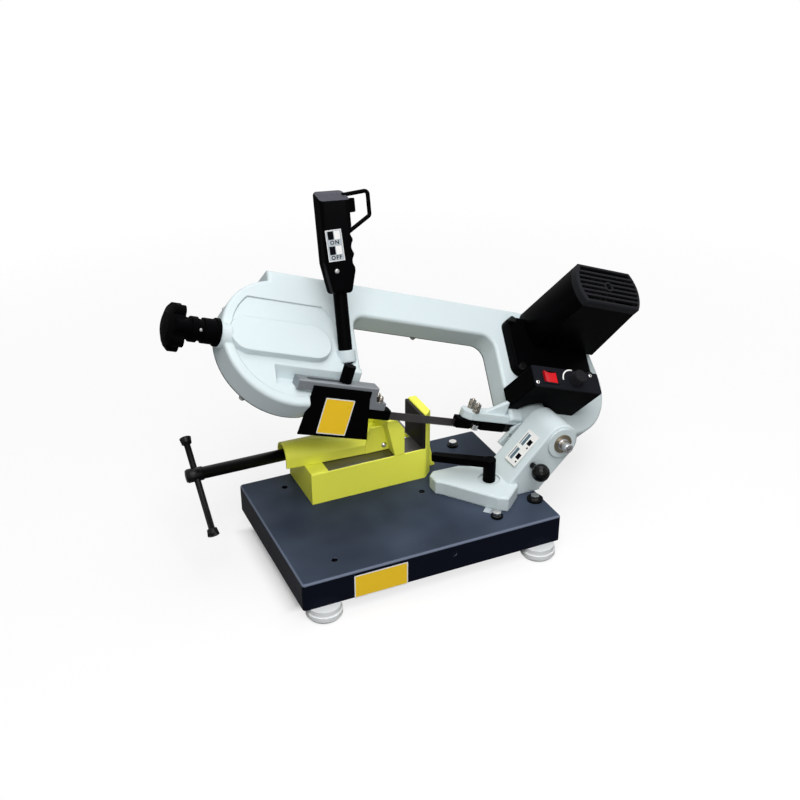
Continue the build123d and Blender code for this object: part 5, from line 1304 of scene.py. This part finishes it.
@dataclass
class BaseTray(SubAssembly):
    """Navy tray on four feet, with a bare plate on its front edge and an angle scale."""

    sign: PlateSize = PlateSize(80.0, 37.0, 1.5, 1.6, 0.3)
    sign_at: Point = (-86.0, -138.0, 36.0)
    scale: PlateSize = PlateSize(20.0, 15.0, 1.0, 0.6, 0.3)
    scale_at: Point = (113.0, -84.5, 62.0)
    scale_turn: float = -46.0
    marks: ScaleMarks = ScaleMarks(9, 40.0, -0.16, 0.04, 5.0, 0.45, 0.1)
    marks_at: Point = (-38.0, 0.0, 0.3)

    def build(self) -> None:
        """Dresses the tray and its feet and adds both plates."""
        shop, done = self.shop, self.shop.finishes
        shop.dress(done.navy, "base_tray")
        shop.dress(done.foot, "rubber_feet")
        shop.dress(done.zinc, "foot_screws", "vise_bolts", "swivel_pivot_bolt")
        shop.dress(done.stop_zinc, "stop_bolts")
        sign = shop.plate(self.sign, done.plate_white, done.plate_yellow)
        frame = shop.frames.facing(shop.frames.base(), self.sign_at)
        shop.place(sign, "front_edge_plate", frame, Body.BASE, Slot.VISE_PAINT)
        self.angle_scale()

    def angle_scale(self) -> None:
        """Adds the scale plate beside the toe of the swivel arm."""
        shop, done = self.shop, self.shop.finishes
        plate = shop.plate(self.scale, done.plate_silver, done.plate_silver)
        marks = shop.grow(self.marks, done.ink_black)
        marks.transform(Matrix.Translation(self.marks_at))
        turn = Matrix.Rotation(math.radians(self.scale_turn), 4, "Z")
        frame = shop.frames.base() @ Matrix.Translation(self.scale_at) @ turn
        shop.place(joined([plate, marks]), "angle_scale_plate", frame, Body.BASE, Slot.ZINC_BOLTS)


@dataclass
class Vise(SubAssembly):
    """Lime vise with a ground bed, dark jaw faces and a stout black screw."""

    cheek_screw: ScrewHead = ScrewHead(4.6, 3.4, 1.7)
    cheek_screw_at: Point = (5.9, 59.5, 123.2)
    end: PlateSize = PlateSize(44.2, 86.4, 0.4, 0.3, 3.7)
    end_at: Point = (-115.2, 87.0, 84.1)
    spindle_gain: float = 1.27
    spindle_until: float = -200.0
    step_width: float = 0.4
    bar_gain: float = 1.32

    def build(self) -> None:
        """Dresses the vise and adds its spindle, the screw in the jaw's cheek and the bed's end."""
        shop, done = self.shop, self.shop.finishes
        shop.dress(done.lime_bed, "vise_bed")
        shop.dress(done.lime, "fixed_jaw", "moving_jaw")
        shop.dress(done.jaw_steel, "fixed_jaw_plate", "moving_jaw_plate")
        shop.dress(done.blackened, "vise_nut")
        self.stouter("vise_screw", self.spindle_gain, self.spindle_until)
        self.stouter("tommy_bar", self.bar_gain)
        base = shop.frames.base()
        screw, frame = shop.grow(self.cheek_screw, done.zinc), shop.frames.facing(base, self.cheek_screw_at)
        shop.place(screw, "jaw_cheek_screw", frame, Body.VISE_SLIDE, Slot.ZINC_BOLTS)
        end = shop.plate(self.end, done.lime, done.lime)
        frame = base @ Matrix.Translation(self.end_at) @ Matrix.Rotation(-QUARTER, 4, "Y")
        shop.place(end, "bed_end_plate", frame, Body.BASE, Slot.VISE_PAINT)

    def stouter(self, name: str, gain: float, until: float = math.inf) -> None:
        """Replaces a round bar with a stouter one on the same axis.

        Args:
            name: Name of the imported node.
            gain: Growth of the bar's radius.
            until: Place along x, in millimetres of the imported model, where the growth ends.
        """
        shape = self.shop.copied(name)
        middle = self.centre(shape.verts)
        reach = max((vertex.co - middle for vertex in shape.verts), key=lambda offset: offset.length)
        one = self.centre([vertex for vertex in shape.verts if (vertex.co - middle).dot(reach) > 0])
        other = self.centre([vertex for vertex in shape.verts if (vertex.co - middle).dot(reach) <= 0])
        axis = (one - other).normalized()
        for end in (until, until + self.step_width) if math.isfinite(until) else ():
            whole = [*shape.verts, *shape.edges, *shape.faces]
            bmesh.ops.bisect_plane(shape, geom=whole, plane_co=(end * MM, 0, 0), plane_no=(1, 0, 0))
        limit = (until + self.step_width / 2) * MM
        for vertex in shape.verts:
            if vertex.co.x < limit:
                offset = vertex.co - one
                along = axis * offset.dot(axis)
                vertex.co = one + along + (offset - along) * gain
        bmesh.ops.recalc_face_normals(shape, faces=shape.faces)
        mesh = self.shop.solid(shape, name, self.shop.finishes.blackened)
        piece = self.shop.place(
            mesh, f"{name}_stout", Matrix.Identity(4), Body.VISE_SPINDLE, Slot.SCREW_BLACK
        )
        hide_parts(name)

    @staticmethod
    def centre(vertices: Sequence[BMVert]) -> Vector:
        """Gives the mean place of some vertices."""
        return sum((vertex.co for vertex in vertices), Vector()) / len(vertices)


@dataclass
class SwivelArm(SubAssembly):
    """White arm with its lock lever, ball knob, pivot bush and a plate with plain blocks of colour.

    Each block is its width, its height and its place on the plate.
    """

    sheet: PlateSize = PlateSize(57.0, 29.5, 1.0, 0.5, 0.3)
    sheet_at: Point = (-43.8, -36.6, 28.0)
    block_edges: Point = (0.4, 0.3, 0.08)
    block_lift: float = 0.28
    pale_blocks: tuple[tuple[float, ...], ...] = (
        (21.0, 1.8, -13.0, 10.8), (21.0, 1.8, 13.0, 10.8), (20.0, 6.2, -13.0, 4.8), (20.0, 6.2, 13.0, 4.8),
    )
    dark_blocks: tuple[tuple[float, ...], ...] = (
        (8.8, 8.8, -13.0, -6.0), (8.8, 8.8, 13.0, -6.0), (3.0, 3.0, -21.5, -9.0), (3.0, 3.0, 4.5, -9.0),
    )

    def build(self) -> None:
        """Dresses the arm and adds the plate on its slope."""
        shop, done = self.shop, self.shop.finishes
        shop.dress(done.white, "swivel_arm")
        shop.dress(done.bronze, "pivot_bushes")
        shop.dress(done.steel, "pivot_shaft")
        shop.dress(done.zinc, "lock_stud")
        shop.dress(done.black, "lock_lever")
        shop.dress(done.blackened, "ball_screw")
        shop.dress(done.gloss_plastic, "ball_knob")
        meshes = [shop.plate(self.sheet, done.plate_white, done.plate_white)]
        for blocks, ink in ((self.pale_blocks, done.ink_blue), (self.dark_blocks, done.ink_black)):
            for width, height, x, y in blocks:
                size = PlateSize(width, height, *self.block_edges)
                meshes.append(shop.patch(size, ink, (x, y, self.block_lift)))
        frame = shop.frames.arm() @ Matrix.Translation(self.sheet_at)
        shop.place(joined(meshes), "arm_plate", frame, Body.SWIVEL, Slot.WHITE_CASTING)


@dataclass
class Bow(SubAssembly):
    """White bow casting with its wheels, blade, cover and tension knob."""

    pin: ScrewHead = ScrewHead(2.4, 1.4, 0.9)
    pin_axis: Point = (-540.4, 87.0, 24.5)
    pin_turn: float = 32.0
    sleeve_radius: float = 17.3

    def build(self) -> None:
        """Dresses the bow and adds the pin of the tension sleeve."""
        shop, done = self.shop, self.shop.finishes
        shop.dress(done.white, "bow_casting")
        shop.dress(done.guard_black, "wheel_cover")
        shop.dress(done.plastic, "tension_knob", "tension_sleeve")
        shop.dress(done.dull_zinc, "cover_knobs")
        shop.dress(done.blade, "blade")
        shop.dress(done.cast_wheel, "idler_wheel", "drive_wheel")
        shop.dress(done.steel, "idler_bearings", "drive_bearings", "drive_shaft", "drive_gear", "tension_slide")
        shop.dress(done.blackened, "tension_screw")
        pin = shop.grow(self.pin, done.dull_zinc, [(0.0, 0.0, self.sleeve_radius)])
        turn = Matrix.Rotation(math.radians(self.pin_turn), 4, "X")
        frame = shop.frames.bow() @ Matrix.Translation(self.pin_axis) @ turn
        shop.place(pin, "sleeve_pin", frame, Body.BOW, Slot.ZINC_BOLTS)


@dataclass
class MotorDrive(SubAssembly):
    """Black motor on its gear cover."""

    def build(self) -> None:
        """Dresses the motor and its gear cover."""
        shop, done = self.shop, self.shop.finishes
        shop.dress(done.black, "motor_housing", "gear_cover")
        shop.dress(done.grille_plastic, "fan_cover")
        shop.dress(done.blackened, "gear_cover_bolts", "motor_rotor")
        shop.dress(done.fan_plastic, "cooling_fan")


@dataclass
class ControlBox(SubAssembly):
    """Switch box with a red rocker and a speed dial."""

    screw: ScrewHead = ScrewHead(3.4, 2.0, 2.3)
    # Painted shade: a black dome inside each screw's socket darkens it.
    screw_centre: ScrewHead = ScrewHead(1.9, 1.5, 0.5)
    screw_places: tuple[Point, ...] = ((-42.4, 25.3, 104.0), (64.0, 49.0, 104.0))
    arc: ArcBand = ArcBand(18.5, 1.45, 1.7, 2.2, 0.3)
    arc_at: Point = (27.0, 35.5, 104.1)

    def build(self) -> None:
        """Dresses the box and adds its screws and the white arc that shows the dial's range."""
        shop, done = self.shop, self.shop.finishes
        shop.dress(done.plastic, "control_box")
        shop.dress(done.panel_plastic, "control_panel")
        shop.dress(done.red, "rocker_switch")
        shop.dress(done.knob_plastic, "speed_knob")
        screws = [
            shop.grow(self.screw, done.zinc, self.screw_places),
            # black domes that paint the shade inside the sockets
            shop.grow(self.screw_centre, done.ink_black, self.screw_places),
        ]
        shop.place(joined(screws), "panel_screws", shop.frames.bow(), Body.BOW, Slot.ZINC_BOLTS)
        arc = shop.grow(self.arc, done.plate_white)
        frame = shop.frames.bow() @ Matrix.Translation(self.arc_at)
        shop.place(arc, "dial_arc", frame, Body.BOW, Slot.WHITE_CASTING)


@dataclass
class BladeGuides(SubAssembly):
    """Blade guides: black blocks, bright rollers and nuts, pale bar and black guard."""

    label: PlateSize = PlateSize(45.5, 55.0, 1.5, 1.4, 0.3)
    label_at: Point = (-336.0, -14.0, -4.2)
    left_nut: DomeNut = DomeNut(4.6, 5.4, 3.8, 5.0, 2.5, 14.0)
    left_places: tuple[Point, ...] = ((-270.5, -7.2, 23.0), (-270.5, 3.2, 23.0))
    right_nut: DomeNut = DomeNut(5.8, 6.0, 2.6, 5.4, 2.5, 15.5)
    right_places: tuple[Point, ...] = (
        (-105.8, -8.0, 24.0), (-105.8, 8.0, 24.0), (-105.8, -8.0, 31.0), (-105.8, 8.0, 31.0),
    )

    def build(self) -> None:
        """Dresses the guides and adds the bare plate on the guard and the domed nuts."""
        shop, done = self.shop, self.shop.finishes
        shop.dress(done.aluminium, "guide_bar")
        shop.dress(done.plastic, "left_guide_block", "right_guide_block", "guide_clamp")
        shop.dress(done.guard_black, "front_guard")
        shop.dress(done.steel, "guide_roller_front", "guide_roller_back")
        label = shop.plate(self.label, done.plate_white, done.plate_orange)
        frame = shop.frames.facing(shop.frames.cut(), self.label_at)
        shop.place(label, "guard_plate", frame, Body.LEFT_GUIDE, Slot.VISE_PAINT)
        self.nuts("left_guide", self.left_nut, self.left_places, Body.LEFT_GUIDE)
        self.nuts("right_guide", self.right_nut, self.right_places, Body.BOW)

    def nuts(self, side: str, nut: DomeNut, places: Sequence[Point], body: Body) -> None:
        """Replaces the plain bolts of one guide with domed nuts on studs.

        Args:
            side: Name of the guide.
            nut: Sizes of the nuts.
            places: Foot of each nut.
            body: Body that the guide rides on.
        """
        mesh = self.shop.grow(nut, self.shop.finishes.nut_zinc, places)
        piece = self.shop.place(mesh, f"{side}_nuts", self.shop.frames.cut(), body, Slot.ZINC_BOLTS)
        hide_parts(f"{side}_bolts")


@dataclass
class HandGrip(SubAssembly):
    """Pistol grip on its tube, with a push button, a wire guard and a switch plate.

    Pairs of places on the switch plate are the height over a row's foot and over the plate's back.
    """

    screw: ScrewHead = ScrewHead(3.6, 1.8, 1.5)
    screw_at: Point = (-7.2, -17.0, 115.8)
    sheet: PlateSize = PlateSize(24.0, 44.0, 0.8, 0.8, 0.25)
    sheet_at: Point = (-6.7, -17.0, 151.8)
    sheet_turn: float = 2.7
    letter_size: float = 7.8
    letters_at: Pair = (3.0, 0.27)
    block: PlateSize = PlateSize(8.6, 11.6, 0.4, 0.4, 0.06)
    blocks_at: Pair = (13.2, 0.23)
    dark_x: float = -4.6
    pale_x: float = 5.0
    head_front: Point = (0.0, -17.0, 213.5)
    head_back: Point = (0.0, 17.0, 230.5)
    pocket_floor: float = 7.0
    pocket_half: float = 7.0
    pocket_low: float = 180.0
    pocket_room: float = 0.5
    pocket_near: float = 0.05

    def build(self) -> None:
        """Dresses the grip and adds its sloping head, the switch plate and the clamping screw."""
        shop, done = self.shop, self.shop.finishes
        shop.dress(done.plastic, "trigger")
        shop.dress(done.black, "handle_tube", "trigger_guard")
        self.sloping_head("grip_front")
        self.sloping_head("grip_back")
        self.switch_plate()
        frame = shop.frames.facing(shop.frames.handle(), self.screw_at)
        screw = shop.grow(self.screw, done.dull_zinc)
        shop.place(screw, "grip_screw", frame, Body.BOW, Slot.ZINC_BOLTS)

    def sloping_head(self, name: str) -> None:
        """Replaces half of the grip with one whose head slopes and whose button has room.

        Args:
            name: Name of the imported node.
        """
        done, place = self.shop.finishes, self.shop.frames.handle()
        front, back = place @ Vector(self.head_front), place @ Vector(self.head_back)
        across = (place.to_3x3() @ Vector((1, 0, 0))).normalized()
        slope = across.cross(back - front).normalized()
        shape = self.shop.copied(name)
        for vertex in shape.verts:
            at = place.inverted() @ vertex.co
            on_floor = abs(at.x - self.pocket_floor) < self.pocket_near
            if on_floor and at.z > self.pocket_low and abs(at.y) < self.pocket_half:
                vertex.co -= across * self.pocket_room * MM
        whole = [*shape.verts, *shape.edges, *shape.faces]
        cut = bmesh.ops.bisect_plane(shape, geom=whole, plane_co=front, plane_no=slope, clear_outer=True)
        rim = [item for item in cut["geom_cut"] if isinstance(item, BMEdge)]
        for face in shape.faces:
            face.material_index = 0
        # The sloping cut face takes the grey finish, a painted highlight of the light from above.
        for face in bmesh.ops.contextual_create(shape, geom=rim)["faces"]:
            face.material_index = 1
        bmesh.ops.recalc_face_normals(shape, faces=shape.faces)
        mesh = self.shop.solid(shape, name, done.plastic, done.grip_head)
        piece = self.shop.place(mesh, f"{name}_sloped", Matrix.Identity(4), Body.BOW, Slot.BLACK_PLASTIC)
        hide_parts(name)

    def switch_plate(self) -> None:
        """Adds the plate that shows the two states of the switch."""
        shop, done = self.shop, self.shop.finishes
        meshes = [shop.plate(self.sheet, done.plate_white, done.plate_silver)]
        for row in SwitchRow:
            at = (0.0, row.value + self.letters_at[0], self.letters_at[1])
            meshes.append(shop.lettering(row.name, self.letter_size, done.ink_black, at))
            for x, ink in ((self.dark_x, done.ink_black), (self.pale_x, done.plate_white)):
                at = (x, row.value + self.blocks_at[0], self.blocks_at[1])
                meshes.append(shop.patch(self.block, ink, at))
        turn = Matrix.Rotation(math.radians(self.sheet_turn), 4, "Z")
        frame = shop.frames.facing(shop.frames.handle(), self.sheet_at) @ turn
        shop.place(joined(meshes), "switch_plate", frame, Body.BOW, Slot.WHITE_CASTING)


@dataclass(frozen=True)
class Lamp:
    """Square soft lamp: its place and side in metres and its power in watts."""

    name: str
    at: Point
    side: float
    power: float

    def hang(self, target: Point) -> None:
        """Hangs the lamp so that it faces a point.

        Args:
            target: Point in metres.
        """
        data = bpy.data.lights.new(self.name, "AREA")
        data.size = self.side
        data.energy = self.power
        lamp = new_object(self.name, data)
        lamp.location = self.at
        lamp.rotation_mode = "QUATERNION"
        lamp.rotation_quaternion = (Vector(target) - Vector(self.at)).to_track_quat("-Z", "Y")


@dataclass
class Studio:
    """Pale floor, soft light and the camera. Sizes of the floor and the tray are metres."""

    camera_at: Point = (-649.1, -1301.2, 979.7)
    camera_right: Point = (0.9088, -0.4172, 0.0)
    camera_back: Point = (-0.3682, -0.8020, 0.4704)
    camera_reach: Pair = (0.05, 50.0)
    lens: float = 50.72
    sensor: float = 36.0
    ambient: float = 0.16
    paper: float = 0.94
    bounce: float = 0.3
    floor_half: float = 6.0
    floor_keep: float = 0.25
    fade: Pair = (0.6, 1.5)
    tray_middle: Pair = (-0.0661, -0.0199)
    tray_half: Pair = (0.2, 0.1)
    tray_edge: Pair = (0.9, 1.2)
    target: Point = (0.0, 0.0, 0.2)
    lamps: tuple[Lamp, ...] = (
        Lamp("key_softbox", (-0.4, -1.3, 2.5), 2.0, 56.0),
        Lamp("top_softbox", (0.5, 0.4, 2.4), 1.6, 24.0),
        Lamp("front_softbox", (-0.5, -2.0, 0.8), 0.9, 7.0),
    )

    def build(self) -> None:
        """Sets up the whole studio."""
        bpy.context.scene.view_settings.view_transform = "Standard"
        self.camera()
        self.floor()
        self.world()
        for lamp in self.lamps:
            lamp.hang(self.target)

    def camera(self) -> None:
        """Makes the camera at the photograph's view."""
        data = bpy.data.cameras.new("camera")
        data.lens = self.lens
        data.sensor_width = self.sensor
        data.clip_start, data.clip_end = self.camera_reach
        camera = new_object("camera", data)
        right, back = Vector(self.camera_right).normalized(), Vector(self.camera_back).normalized()
        camera.matrix_world = Frames.axes(Vector(self.camera_at) * MM, right, back.cross(right), back)
        bpy.context.scene.camera = camera

    def floor(self) -> None:
        """Makes the floor: white to the camera, with the object's shadow kept."""
        half = self.floor_half
        mesh = bpy.data.meshes.new("floor")
        corners = [(-half, -half, 0), (half, -half, 0), (half, half, 0), (-half, half, 0)]
        mesh.from_pydata(corners, [], [(0, 1, 2, 3)])
        floor = new_object("floor", mesh)
        material = bpy.data.materials.new("floor_paper")
        tree = cleared(material)
        shown = self.seen(tree, reflected=False)
        shade = tree.span(shown, 0.0, 1.0, self.bounce, self.paper)
        lit = tree.out("ShaderNodeBsdfDiffuse", {"Color": shade})
        glow = tree.out("ShaderNodeEmission", {"Color": WHITE, "Strength": 1.0})
        share = tree.math("MULTIPLY", shown, tree.math("SUBTRACT", 1.0, self.kept_shadow(tree)))
        mixed = tree.out("ShaderNodeMixShader", {0: share, 1: lit, 2: glow})
        tree.add("ShaderNodeOutputMaterial", {"Surface": mixed})
        mesh.materials.append(material)

    def kept_shadow(self, tree: TreeBuilder) -> NodeSocket:
        """Gives the share of true light on the floor: all of it under the tray, none far away.

        Args:
            tree: Tree of the floor's material.

        Returns:
            The share.
        """
        place = tree.place()
        sides = []
        for axis, middle, half in zip("XY", self.tray_middle, self.tray_half):
            off = tree.math("ABSOLUTE", tree.math("SUBTRACT", tree.part(place, axis), middle))
            sides.append(tree.math("DIVIDE", off, half))
        under = tree.span(tree.math("MAXIMUM", *sides), *self.tray_edge, 1.0, 0.0)
        away = tree.add("ShaderNodeVectorMath", {0: place}, operation="LENGTH").outputs["Value"]
        near = tree.span(away, *self.fade, self.floor_keep, 0.0)
        return tree.math("MAXIMUM", under, near)

    @staticmethod
    def seen(tree: TreeBuilder, reflected: bool) -> NodeSocket:
        """Gives 1 where the camera or glass, and a reflection if asked, looks at the surroundings.

        Args:
            tree: Tree of the floor's material or the world.
            reflected: Whether reflections count.

        Returns:
            1 or 0.
        """
        path = tree.add("ShaderNodeLightPath")
        direct = tree.math("MAXIMUM", path.outputs["Is Camera Ray"], path.outputs["Is Transmission Ray"])
        return tree.math("MAXIMUM", direct, path.outputs["Is Glossy Ray"]) if reflected else direct

    def world(self) -> None:
        """Lights the scene evenly and shows white behind it."""
        world = bpy.data.worlds.new("studio")
        tree = cleared(world)
        strength = tree.span(self.seen(tree, reflected=True), 0.0, 1.0, self.ambient, 1.0)
        light = tree.out("ShaderNodeBackground", {"Color": WHITE, "Strength": strength})
        tree.add("ShaderNodeOutputWorld", {"Surface": light})
        bpy.context.scene.world = world


def corners(box: tuple[Vector, Vector]) -> list[list[float]]:
    """Gives a box as plain lists of numbers."""
    return [[float(value) for value in corner] for corner in box]


def main() -> None:
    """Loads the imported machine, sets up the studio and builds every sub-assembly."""
    logging.basicConfig(level=logging.INFO, format="%(name)s: %(message)s")
    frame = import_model()
    Studio().build()
    shop = Workshop(frame["nodes"])
    for part in (BaseTray, Vise, SwivelArm, Bow, MotorDrive, ControlBox, BladeGuides, HandGrip):
        part(shop).build()
        LOG.info("built %s", part.__name__)


if __name__ == "__main__":
    main()
